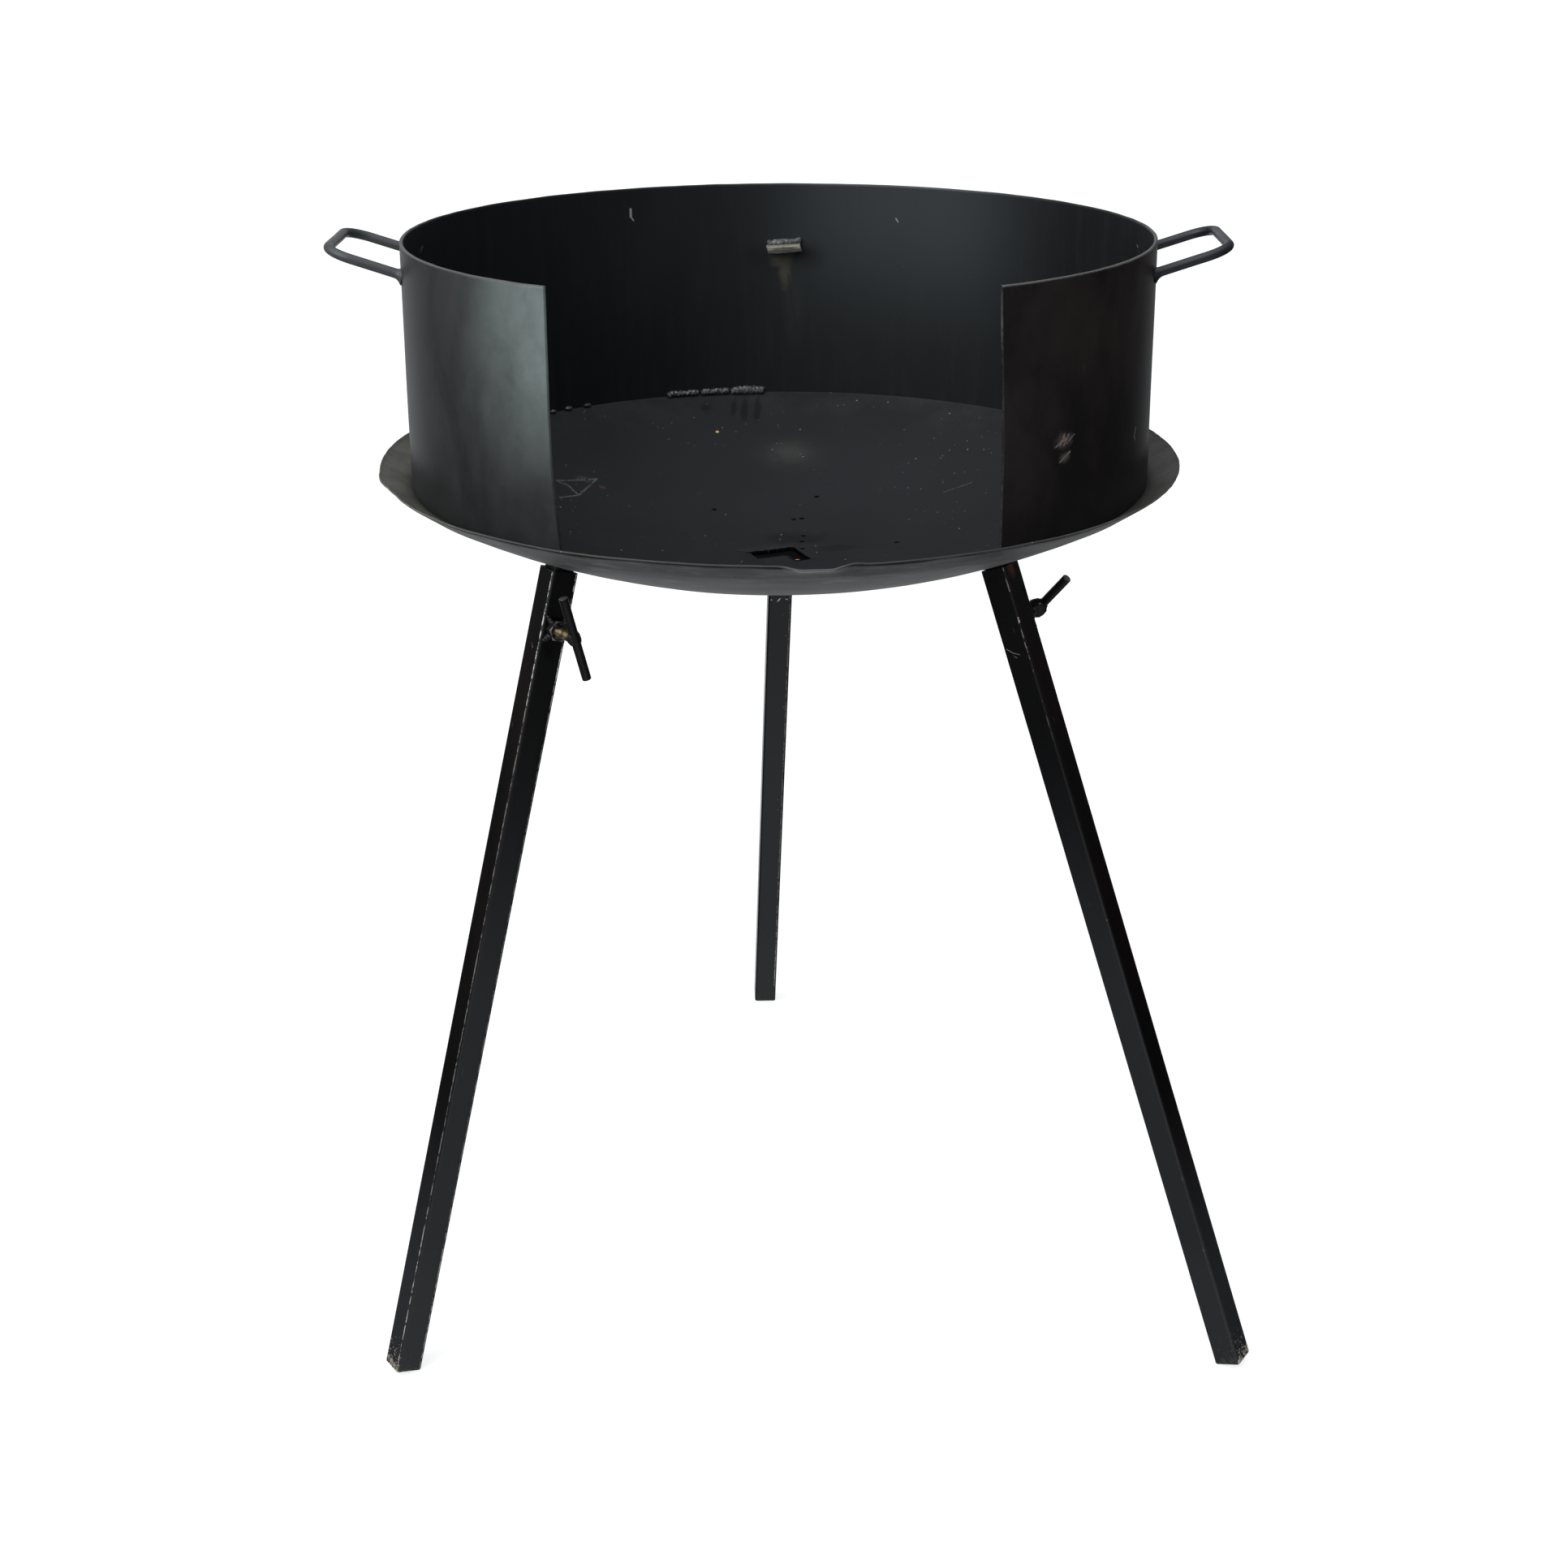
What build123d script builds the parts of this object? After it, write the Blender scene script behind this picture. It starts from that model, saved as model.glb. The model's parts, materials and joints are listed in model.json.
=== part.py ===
from build123d import *
import os
from math import atan2, cos, degrees, radians, sin, sqrt

# Fire pit: a dished pan on three plug-in tube legs, with a wind shell, lift handles
# and lugs for a grate. Millimetres and degrees. +Z is up and the shell opens to -Y.
# The origin is on the floor under the middle of the pan. Azimuths run from +X to +Y.

os.makedirs("parts", exist_ok=True)

# --- Driving dimensions ---------------------------------------------------------

# Pan: a worn plough disc with a bevelled rim, its square hub hole closed from below by a plate.
PAN_RADIUS = 355.5
PAN_RIM_HEIGHT = 801
PAN_DEPTH = 98
PAN_THICKNESS = 4
PAN_EDGE = 1.6
PAN_BEVEL_WIDTH = 24
HUB_HOLE = 44
HUB_HOLE_CORNER = 3
HUB_HOLE_TURN = 25
HUB_PLATE = 70
HUB_PLATE_CORNER = 2
HUB_PLATE_THICKNESS = 3

# Wind shell: a rolled sheet, open at the top and at the front, a little wider at its foot.
SHEET = 3
SHELL_TOP_HEIGHT = 995
SHELL_TOP_RADIUS = 325
SHELL_FOOT_RADIUS = 328
OPENING_LEFT = 240.2
OPENING_RIGHT = 304.2
OPENING_LEAN = 1.6
OPENING_TRIM = 2

# Grate lugs: flat bar stood off the inside of the shell.
LUG_WIDTH = 34
LUG_THICKNESS = 7
LUG_REACH = 16
LUG_WELD_GROOVE = 1.5
LUG_TOP_HEIGHT = 935.5
LUG_AZIMUTHS = {"rear": 91.6, "left": 211.6, "right": 331.6}

# Handles: round rod bent to a U and tilted up.
ROD_RADIUS = 4
HANDLE_HALF_WIDTH = 60
HANDLE_REACH = 66.5
HANDLE_BEND = 20
HANDLE_TILT = 18
HANDLE_DROP = 25
HANDLE_AZIMUTHS = {"left": 183.9, "right": 0.1}

# Legs: square tube, square-cut, plugged over smaller tube stubs under the pan.
# Each leg has its own spread: (radius, azimuth) of its axis at the floor and at the pan.
LEG_TUBE = 25
LEG_WALL = 2
LEG_CORNER = 2.5
LEG_TWIST = -3
LEG_GAP = 6
STUB_TUBE = 19
STUB_WALL = 2
STUB_CORNER = 2
STUB_REACH = 110
LEG_FLOOR = {"rear": (465.4, 95.3), "left": (442.1, 219.4), "right": (493.8, 330.7)}
LEG_SEAT = {"rear": (213.6, 91.4), "left": (231.5, 218.5), "right": (223.7, 329.4)}

# Clamps: an M10 T-bolt through a nut on the side of each leg.
CLAMP_DROP = 50
CLAMP_HOLE_RADIUS = 5.5
NUT_ACROSS_FLATS = 17
NUT_THICKNESS = 8
NUT_BORE_RADIUS = 5.08
SCREW_RADIUS = 5
SCREW_TIP_GAP = 0.2
BAR_RADIUS = 4
BAR_LENGTH = 78
BAR_STANDOFF = 34
BAR_TURN = {"rear": 45, "left": 30, "right": 60}
COLLAR_RADIUS = 6.5
COLLAR_HEIGHT = 7
COLLAR_GAP = 0.1

# --- Worked-out sizes -----------------------------------------------------------

INNER_SPHERE = (PAN_RADIUS**2 + PAN_DEPTH**2) / (2 * PAN_DEPTH)
OUTER_SPHERE = INNER_SPHERE + PAN_THICKNESS
SPHERE_HEIGHT = PAN_RIM_HEIGHT - PAN_DEPTH + INNER_SPHERE
HALF_LEG = LEG_TUBE / 2
BAR_HEIGHT = HALF_LEG + BAR_STANDOFF


def dish_height(radius, sphere):
    """Height of the pan's inside or outside surface at a radius from its middle."""
    return SPHERE_HEIGHT - sqrt(sphere**2 - radius**2)


def polar(radius, azimuth, height=0):
    """Point at a radius, azimuth and height about the pan's axis."""
    return Vector(radius * cos(radians(azimuth)), radius * sin(radians(azimuth)), height)


def leg_plane(side):
    """Plane across a leg's foot: X faces outward, Y faces its clamp, Z runs up the leg."""
    seat_radius, seat_azimuth = LEG_SEAT[side]
    ground = polar(*LEG_FLOOR[side])
    seat = polar(seat_radius, seat_azimuth, dish_height(seat_radius, OUTER_SPHERE))
    along = (seat - ground).normalized()
    facing = degrees(atan2(-along.Y, -along.X)) + LEG_TWIST
    outward = polar(1, facing)
    outward = (outward - along * outward.dot(along)).normalized()
    across = along.cross(outward)
    lift = HALF_LEG * (abs(outward.Z) + abs(across.Z)) / along.Z
    return Plane(origin=ground + along * lift, x_dir=outward, z_dir=along)


def seat_distance(side):
    """Distance along a leg's axis from its foot to the underside of the pan."""
    seat_radius, seat_azimuth = LEG_SEAT[side]
    seat = polar(seat_radius, seat_azimuth, dish_height(seat_radius, OUTER_SPHERE))
    return (seat - leg_plane(side).origin).length


def clamp_plane(side):
    """Plane on a leg's axis behind its clamp: X runs up the leg, Z points out along the screw."""
    foot = leg_plane(side)
    height = seat_distance(side) - LEG_GAP - CLAMP_DROP
    return Plane(origin=foot.origin + foot.z_dir * height, x_dir=foot.z_dir, z_dir=foot.y_dir)


# --- Envelopes used to trim what meets the pan and the shell ------------------------

wall_foot = dish_height(SHELL_FOOT_RADIUS - SHEET, INNER_SPHERE)
wall_heel = dish_height(SHELL_FOOT_RADIUS, INNER_SPHERE)

with BuildPart() as pan_envelope:
    with BuildSketch(Plane.XZ):
        with BuildLine():
            bottom = (0, dish_height(0, OUTER_SPHERE))
            middle = (PAN_RADIUS / 2, dish_height(PAN_RADIUS / 2, OUTER_SPHERE))
            rim = (PAN_RADIUS, dish_height(PAN_RADIUS, OUTER_SPHERE))
            ThreePointArc(bottom, middle, rim)
            Line(rim, (0, rim[1]))
            Line((0, rim[1]), bottom)
        make_face()
    revolve(axis=Axis.Z)

with BuildPart() as shell_inside:
    with BuildSketch(Plane.XZ):
        with BuildLine():
            Polyline(
                (0, wall_foot),
                (SHELL_FOOT_RADIUS - SHEET, wall_foot),
                (SHELL_TOP_RADIUS - SHEET, SHELL_TOP_HEIGHT),
                (0, SHELL_TOP_HEIGHT),
                close=True,
            )
        make_face()
    revolve(axis=Axis.Z)

with BuildPart() as shell_outside:
    with BuildSketch(Plane.XZ):
        with BuildLine():
            Polyline(
                (0, wall_heel),
                (SHELL_FOOT_RADIUS, wall_heel),
                (SHELL_TOP_RADIUS, SHELL_TOP_HEIGHT),
                (0, SHELL_TOP_HEIGHT),
                close=True,
            )
        make_face()
    revolve(axis=Axis.Z)

# --- Pan ------------------------------------------------------------------------

with BuildPart() as pan:
    with BuildSketch(Plane.XZ):
        with BuildLine():
            inner_bottom = (0, dish_height(0, INNER_SPHERE))
            inner_middle = (PAN_RADIUS / 2, dish_height(PAN_RADIUS / 2, INNER_SPHERE))
            rim_top = (PAN_RADIUS, PAN_RIM_HEIGHT)
            rim_under = (PAN_RADIUS, PAN_RIM_HEIGHT - PAN_EDGE)
            bevel_radius = PAN_RADIUS - PAN_BEVEL_WIDTH
            bevel_start = (bevel_radius, dish_height(bevel_radius, OUTER_SPHERE))
            outer_middle = (bevel_radius / 2, dish_height(bevel_radius / 2, OUTER_SPHERE))
            outer_bottom = (0, dish_height(0, OUTER_SPHERE))
            ThreePointArc(inner_bottom, inner_middle, rim_top)
            Line(rim_top, rim_under)
            Line(rim_under, bevel_start)
            ThreePointArc(bevel_start, outer_middle, outer_bottom)
            Line(outer_bottom, inner_bottom)
        make_face()
    revolve(axis=Axis.Z)
    with BuildSketch(Plane.XY.offset(outer_bottom[1] - PAN_THICKNESS)):
        RectangleRounded(HUB_HOLE, HUB_HOLE, HUB_HOLE_CORNER, rotation=HUB_HOLE_TURN)
    extrude(amount=4 * PAN_THICKNESS, mode=Mode.SUBTRACT)
pan.part.label = "pan"
export_step(pan.part, "parts/pan.step")

# --- Hub plate ------------------------------------------------------------------

# The plate's top follows the underside of the pan.
plate_bottom = dish_height(0, OUTER_SPHERE) - HUB_PLATE_THICKNESS
with BuildPart() as hub_plate:
    with BuildSketch(Plane.XY.offset(plate_bottom)):
        RectangleRounded(HUB_PLATE, HUB_PLATE, HUB_PLATE_CORNER, rotation=HUB_HOLE_TURN)
    extrude(amount=2 * HUB_PLATE_THICKNESS)
    with Locations((0, 0, SPHERE_HEIGHT)):
        Sphere(OUTER_SPHERE, mode=Mode.SUBTRACT)
hub_plate.part.label = "hub_plate"
export_step(hub_plate.part, "parts/hub_plate.step")

# --- Wind shell -------------------------------------------------------------------

shell_start = OPENING_RIGHT - OPENING_TRIM
shell_sweep = 360 - (OPENING_RIGHT - OPENING_LEFT) + 2 * OPENING_TRIM
shell_height = SHELL_TOP_HEIGHT - wall_foot
lean = radians(OPENING_LEAN)

with BuildPart() as wind_shell:
    with BuildSketch(Plane(origin=(0, 0, 0), x_dir=polar(1, shell_start), z_dir=polar(1, shell_start - 90))):
        with BuildLine():
            Polyline(
                (SHELL_TOP_RADIUS - SHEET, SHELL_TOP_HEIGHT),
                (SHELL_TOP_RADIUS, SHELL_TOP_HEIGHT),
                (SHELL_FOOT_RADIUS, wall_heel),
                (SHELL_FOOT_RADIUS - SHEET, wall_foot),
                close=True,
            )
        make_face()
    revolve(axis=Axis.Z, revolution_arc=shell_sweep)
    for azimuth, into_opening in ((OPENING_LEFT, 1), (OPENING_RIGHT, -1)):
        end_middle = polar(SHELL_FOOT_RADIUS, azimuth, wall_foot + shell_height / 2)
        end_normal = polar(cos(lean), azimuth + 90, sin(lean)) * into_opening
        with BuildSketch(Plane(origin=end_middle, x_dir=polar(1, azimuth), z_dir=end_normal)):
            Rectangle(10 * SHEET, 2 * shell_height)
        extrude(amount=10 * SHEET, mode=Mode.SUBTRACT)
wind_shell.part.label = "wind_shell"
export_step(wind_shell.part, "parts/wind_shell.step")

# --- Grate lugs -------------------------------------------------------------------

for side, azimuth in LUG_AZIMUTHS.items():
    lug_tip = SHELL_TOP_RADIUS - SHEET - LUG_REACH
    with BuildPart() as grate_lug:
        lug_plane = Plane(
            origin=polar(lug_tip + LUG_REACH, azimuth, LUG_TOP_HEIGHT),
            x_dir=polar(1, azimuth),
            z_dir=(0, 0, -1),
        )
        with BuildSketch(lug_plane):
            Rectangle(2 * LUG_REACH, LUG_WIDTH)
        extrude(amount=LUG_THICKNESS)
        add(shell_inside.part, mode=Mode.INTERSECT)
        wall_edge = grate_lug.edges().filter_by(GeomType.CIRCLE).sort_by(Axis.Z)[-1]
        chamfer(wall_edge, length=LUG_WELD_GROOVE)
    grate_lug.part.label = f"grate_lug_{side}"
    export_step(grate_lug.part, f"parts/grate_lug_{side}.step")

# --- Handles ----------------------------------------------------------------------

for side, azimuth in HANDLE_AZIMUTHS.items():
    tilt = radians(HANDLE_TILT)
    outward = polar(cos(tilt), azimuth, sin(tilt))
    root_radius = sqrt(SHELL_TOP_RADIUS**2 - HANDLE_HALF_WIDTH**2)
    handle_plane = Plane(
        origin=polar(root_radius, azimuth, SHELL_TOP_HEIGHT - HANDLE_DROP),
        x_dir=outward,
        z_dir=outward.cross(polar(1, azimuth + 90)),
    )
    with BuildPart() as handle:
        with BuildLine(handle_plane) as handle_path:
            FilletPolyline(
                (-HANDLE_BEND, HANDLE_HALF_WIDTH),
                (HANDLE_REACH, HANDLE_HALF_WIDTH),
                (HANDLE_REACH, -HANDLE_HALF_WIDTH),
                (-HANDLE_BEND, -HANDLE_HALF_WIDTH),
                radius=HANDLE_BEND,
            )
        with BuildSketch(Plane(origin=handle_path.line @ 0, z_dir=handle_path.line % 0)):
            Circle(ROD_RADIUS)
        sweep(path=handle_path.line)
        add(shell_outside.part, mode=Mode.SUBTRACT)
    handle.part.label = f"handle_{side}"
    export_step(handle.part, f"parts/handle_{side}.step")

# --- Legs, stubs and clamps -------------------------------------------------------

for side in LEG_FLOOR:
    foot = leg_plane(side)
    clamp = clamp_plane(side)
    to_seat = seat_distance(side)

    with BuildPart() as leg_stub:
        with BuildSketch(foot.offset(to_seat - STUB_REACH)):
            RectangleRounded(STUB_TUBE, STUB_TUBE, STUB_CORNER)
            offset(amount=-STUB_WALL, mode=Mode.SUBTRACT)
        extrude(amount=STUB_REACH + STUB_TUBE)
        add(pan_envelope.part, mode=Mode.SUBTRACT)
    leg_stub.part.label = f"leg_stub_{side}"
    export_step(leg_stub.part, f"parts/leg_stub_{side}.step")

    with BuildPart() as leg:
        with BuildSketch(foot):
            RectangleRounded(LEG_TUBE, LEG_TUBE, LEG_CORNER)
            offset(amount=-LEG_WALL, mode=Mode.SUBTRACT)
        extrude(amount=to_seat - LEG_GAP)
        with BuildSketch(clamp):
            Circle(CLAMP_HOLE_RADIUS)
        extrude(amount=LEG_TUBE, mode=Mode.SUBTRACT)
    leg.part.label = f"leg_{side}"
    export_step(leg.part, f"parts/leg_{side}.step")

    with BuildPart() as clamp_nut:
        with BuildSketch(clamp.offset(HALF_LEG)):
            RegularPolygon(NUT_ACROSS_FLATS / 2, 6, major_radius=False)
            Circle(NUT_BORE_RADIUS, mode=Mode.SUBTRACT)
        extrude(amount=NUT_THICKNESS)
    clamp_nut.part.label = f"clamp_nut_{side}"
    export_step(clamp_nut.part, f"parts/clamp_nut_{side}.step")

    screw_tip = STUB_TUBE / 2 + SCREW_TIP_GAP
    with BuildPart() as clamp_screw:
        with BuildSketch(clamp.offset(screw_tip)):
            Circle(SCREW_RADIUS)
        extrude(amount=BAR_HEIGHT - COLLAR_HEIGHT - screw_tip)
    clamp_screw.part.label = f"clamp_screw_{side}"
    export_step(clamp_screw.part, f"parts/clamp_screw_{side}.step")

    # The cross bar carries the short weld collar that joins it to the screw.
    turn = radians(BAR_TURN[side])
    bar_along = foot.z_dir * cos(turn) + foot.x_dir * sin(turn)
    bar_middle = clamp.origin + clamp.z_dir * BAR_HEIGHT
    with BuildPart() as clamp_bar:
        with BuildSketch(Plane(origin=bar_middle - bar_along * (BAR_LENGTH / 2), z_dir=bar_along)):
            Circle(BAR_RADIUS)
        extrude(amount=BAR_LENGTH)
        with BuildSketch(clamp.offset(BAR_HEIGHT - COLLAR_HEIGHT + COLLAR_GAP)):
            Circle(COLLAR_RADIUS)
        extrude(amount=COLLAR_HEIGHT - COLLAR_GAP)
    clamp_bar.part.label = f"clamp_bar_{side}"
    export_step(clamp_bar.part, f"parts/clamp_bar_{side}.step")
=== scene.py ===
import json
import math
from functools import cached_property

import bmesh
import bpy
from mathutils import Matrix, Vector, noise


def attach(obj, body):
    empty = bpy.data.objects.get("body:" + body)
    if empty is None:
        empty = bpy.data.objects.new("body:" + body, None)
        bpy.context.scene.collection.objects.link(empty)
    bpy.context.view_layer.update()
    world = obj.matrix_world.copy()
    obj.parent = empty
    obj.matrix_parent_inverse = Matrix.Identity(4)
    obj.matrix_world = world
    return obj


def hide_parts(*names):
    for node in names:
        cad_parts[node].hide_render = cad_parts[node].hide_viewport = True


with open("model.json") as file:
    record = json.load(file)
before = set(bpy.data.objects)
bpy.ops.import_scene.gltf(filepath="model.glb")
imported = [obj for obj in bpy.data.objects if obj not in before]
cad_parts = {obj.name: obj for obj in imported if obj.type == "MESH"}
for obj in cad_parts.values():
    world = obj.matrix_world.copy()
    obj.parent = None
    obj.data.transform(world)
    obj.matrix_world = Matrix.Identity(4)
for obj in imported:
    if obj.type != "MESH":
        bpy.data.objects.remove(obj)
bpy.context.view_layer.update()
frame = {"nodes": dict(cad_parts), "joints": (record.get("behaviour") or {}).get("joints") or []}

# Looks for the fire pit. Shapes are written in millimetres and degrees, in the frame of the
# CAD part, and turned into metres when a mesh is made. Azimuths run from +X towards +Y.

MM = 0.001
UP = Vector((0, 0, 1))
SIDES = ("rear", "left", "right")

# --- Sizes shared with the CAD part ---------------------------------------------------

PAN_RADIUS = 355.5
PAN_RIM_HEIGHT = 801
PAN_DEPTH = 98
PAN_THICKNESS = 4
PAN_EDGE = 1.6
PAN_BEVEL_WIDTH = 24
HUB_HOLE = 44
HUB_HOLE_CORNER = 3
HUB_HOLE_TURN = 25
HUB_PLATE = 70
SHEET = 3
SHELL_TOP_HEIGHT = 995
SHELL_TOP_RADIUS = 325
SHELL_FOOT_RADIUS = 328
LUG_WIDTH = 34
LUG_THICKNESS = 7
LUG_REACH = 16
LUG_TOP_HEIGHT = 935.5
LUG_AZIMUTHS = {"rear": 91.6, "left": 211.6, "right": 331.6}
ROD_RADIUS = 4
HANDLE_HALF_WIDTH = 60
HANDLE_REACH = 66.5
HANDLE_BEND = 23  # 3 mm rounder than in the CAD part
HANDLE_TILT = 18
HANDLE_DROP = 25
HANDLE_AZIMUTHS = {"left": 183.9, "right": 0.1}
LEG_HALF = 12.5
LEG_WALL = 2
LEG_CORNER = 2.5
STUB_HALF = 9.5
STUB_CORNER = 2
NUT_ACROSS_FLATS = 17
NUT_THICKNESS = 8
SCREW_RADIUS = 5
THREAD_PITCH = 1.5
SCREW_TIP = 9.7
BAR_RADIUS = 4
BAR_LENGTH = 78
BAR_HEIGHT = 46.5
BAR_TURN = {"rear": 45, "left": 30, "right": 60}
COLLAR_HEIGHT = 7

# The pan is part of a hollow sphere.
INNER_SPHERE = (PAN_RADIUS**2 + PAN_DEPTH**2) / (2 * PAN_DEPTH)
OUTER_SPHERE = INNER_SPHERE + PAN_THICKNESS
SPHERE_HEIGHT = PAN_RIM_HEIGHT - PAN_DEPTH + INNER_SPHERE


def dish_height(radius, sphere=INNER_SPHERE):
    """Height of the pan's inside or outside surface at a radius from its middle."""
    return SPHERE_HEIGHT - math.sqrt(sphere**2 - radius**2)


def polar(radius, azimuth, height=0.0):
    """Point at a radius, azimuth and height about the pan's axis."""
    angle = math.radians(azimuth)
    return Vector((radius * math.cos(angle), radius * math.sin(angle), height))


def on_pan(radius, azimuth):
    """Point on the pan's inside."""
    return polar(radius, azimuth, dish_height(radius))


def shell_radius(height):
    """Outer radius of the wind shell at a height."""
    foot = dish_height(SHELL_FOOT_RADIUS)
    share = (height - foot) / (SHELL_TOP_HEIGHT - foot)
    return SHELL_FOOT_RADIUS + share * (SHELL_TOP_RADIUS - SHELL_FOOT_RADIUS)


def smooth(low, high, value):
    """0 at low, 1 at high, and a smooth step between; high may be the smaller."""
    t = min(1.0, max(0.0, (value - low) / (high - low)))
    return t * t * (3 - 2 * t)


def turn_between(azimuth, other):
    """Turn from one azimuth to another, from -180 to 180 degrees."""
    return (azimuth - other + 180) % 360 - 180


def along_table(table, value):
    """Value of a table of (position, value) pairs at a position, joined by straight lines."""
    for (a, at_a), (b, at_b) in zip(table, table[1:]):
        if value <= b:
            break
    t = min(1.0, max(0.0, (value - a) / (b - a)))
    return at_a + t * (at_b - at_a)


def ripple(point, size, seed):
    """Smooth noise from -1 to 1 that changes over about size millimetres."""
    return noise.noise(Vector(point) / size + Vector((seed, 2 * seed, 3 * seed)))


def ring(angle, radius=1.0):
    """Point at an angle in radians on a circle about Z."""
    return Vector((radius * math.cos(angle), radius * math.sin(angle), 0))


# --- Mesh building --------------------------------------------------------------------

BEAD_AROUND = 14


def grid_faces(rows, columns, closed=False):
    """Quads of rows of points, each row a ring. closed also joins the last row to the first."""
    faces = []
    for i in range(rows if closed else rows - 1):
        for j in range(columns):
            a, b = i * columns, (i + 1) % rows * columns
            c, d = j, (j + 1) % columns
            faces.append((a + c, a + d, b + d, b + c))
    return faces


def capped_faces(rows, around):
    """Quads round a closed tube stored ring by ring, with a face over each end."""
    faces = grid_faces(rows, around)
    faces.append(tuple(range(around)))
    faces.append(tuple(range((rows - 1) * around, rows * around)))
    return faces


def piece(name, shape, body, material, node=None, axes=None, wear=None, sharp=60):
    """A piece of the object, riding on a body, from its points in millimetres and its faces.

    wear has a value for each point, and reaches the material as an attribute: 1 is bare and -1 is
    painted shade. A piece with a CAD node stands for it. axes is the place of a piece that is
    shaped in its own axes, and sharp the angle from which an edge isn't smoothed.
    """
    points, faces = shape
    mesh = bpy.data.meshes.new(name)
    mesh.from_pydata([Vector(p) * MM for p in points], [], faces)
    mesh.validate()
    if wear is not None:
        layer = mesh.attributes.new("wear", "FLOAT", "POINT")
        layer.data.foreach_set("value", wear)
    mesh.shade_smooth()
    mesh.set_sharp_from_angle(angle=math.radians(sharp))
    for one in material if isinstance(material, list) else [material]:
        mesh.materials.append(one)
    face_outward(mesh)
    made = bpy.data.objects.new(name, mesh)
    bpy.context.scene.collection.objects.link(made)
    if axes is not None:
        made.matrix_world = axes
    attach(made, body)
    if node:
        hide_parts(node)
    return made


def face_outward(mesh):
    """Turns every face of a closed mesh outward."""
    work = bmesh.new()
    work.from_mesh(mesh)
    bmesh.ops.recalc_face_normals(work, faces=work.faces)
    work.to_mesh(mesh)
    work.free()


def lengths_along(path):
    """Distance of each point of a path from its start."""
    lengths = [0.0]
    for a, b in zip(path, path[1:]):
        lengths.append(lengths[-1] + (b - a).length)
    return lengths


def tube(path, up, radius_at, around):
    """A closed round tube along a path. radius_at takes the point's number and the angle."""
    points = []
    for i, point in enumerate(path):
        ahead = (path[min(i + 1, len(path) - 1)] - path[max(i - 1, 0)]).normalized()
        side = ahead.cross(up).normalized()
        top = side.cross(ahead).normalized()
        for k in range(around):
            way = ring(math.tau * k / around, radius_at(i, math.tau * k / around))
            points.append(point + side * way.x + top * way.y)
    return points, capped_faces(len(path), around)


def merge(shapes):
    """One shape from several."""
    points, faces = [], []
    for more_points, more_faces in shapes:
        faces += [tuple(len(points) + k for k in face) for face in more_faces]
        points += more_points
    return points, faces


def weld_bead(path, up, size, wave, seed, taper=3):
    """A weld bead along a path: overlapping ripples, thick and thin runs, and lumps."""
    lengths = lengths_along(path)

    def radius_at(i, angle):
        place, way = lengths[i], ring(angle)
        crest = 0.10 * abs(math.sin(math.pi * place / wave))
        lump = 0.22 * ripple(path[i] + UP * (4 * way.x), 2.2 * size, seed)
        grain = 0.10 * ripple(path[i] * 3 + way * 9, size, seed)
        end = min(1.0, (place + 0.4) / taper, (lengths[-1] - place + 0.4) / taper)
        return size * (0.86 + crest + lump + grain) * math.sqrt(max(0.05, end))

    return tube(path, up, radius_at, BEAD_AROUND)


def blob(centre, axes, sizes, seed, lumps=0.16):
    """A lumpy closed drop of weld metal: centre, three directions and three half sizes."""
    rings, around = 10, 16
    points = []
    for i in range(rings + 1):
        tilt = math.pi * i / rings
        for k in range(around):
            way = ring(math.tau * k / around, math.sin(tilt)) + UP * math.cos(tilt)
            grow = 1 + lumps * ripple(way * 10 + centre, 6, seed)
            offsets = (axes[n] * (way[n] * sizes[n] * grow) for n in range(3))
            points.append(centre + sum(offsets, Vector()))
    return points, grid_faces(rings + 1, around)


# --- Materials ------------------------------------------------------------------------


class Nodes:
    """Adds nodes to a tree. Each value given to a socket is a constant or another's output."""

    def __init__(self, tree):
        self.tree = tree
        tree.nodes.clear()

    def put(self, socket, value):
        if isinstance(value, bpy.types.NodeSocket):
            self.tree.links.new(value, socket)
        else:
            socket.default_value = value

    def add(self, kind, settings=None, **sockets):
        node = self.tree.nodes.new(kind)
        for name, value in (settings or {}).items():
            setattr(node, name, value)
        for name, value in sockets.items():
            self.put(node.inputs[name.replace("_", " ")], value)
        return node

    def math(self, operation, *values):
        node = self.add("ShaderNodeMath", {"operation": operation})
        for socket, value in zip(node.inputs, values):
            self.put(socket, value)
        return node.outputs[0]

    def vector(self, operation, *values, output=0):
        node = self.add("ShaderNodeVectorMath", {"operation": operation})
        for socket, value in zip(node.inputs, values):
            self.put(socket, value)
        return node.outputs[output]

    def dot(self, a, b):
        return self.vector("DOT_PRODUCT", a, b, output="Value")

    def times(self, *values):
        found = values[0]
        for value in values[1:]:
            found = self.math("MULTIPLY", found, value)
        return found

    def plus(self, a, b):
        return self.math("ADD", a, b)

    def step(self, value, low, high, start=0.0, end=1.0):
        """start to end as value goes from low to high, smoothly; high may be the smaller."""
        node = self.add("ShaderNodeMapRange", {"interpolation_type": "SMOOTHSTEP"}, Value=value)
        limits = {"From Min": low, "From Max": high, "To Min": start, "To Max": end}
        for name, given in limits.items():
            node.inputs[name].default_value = given
        return node.outputs["Result"]


def shade(value):
    """A colour for a socket: an output, a grey given as one number, or red, green and blue."""
    if isinstance(value, bpy.types.NodeSocket):
        return value
    return (value,) * 3 + (1.0,) if isinstance(value, (int, float)) else (*value, 1.0)


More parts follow.
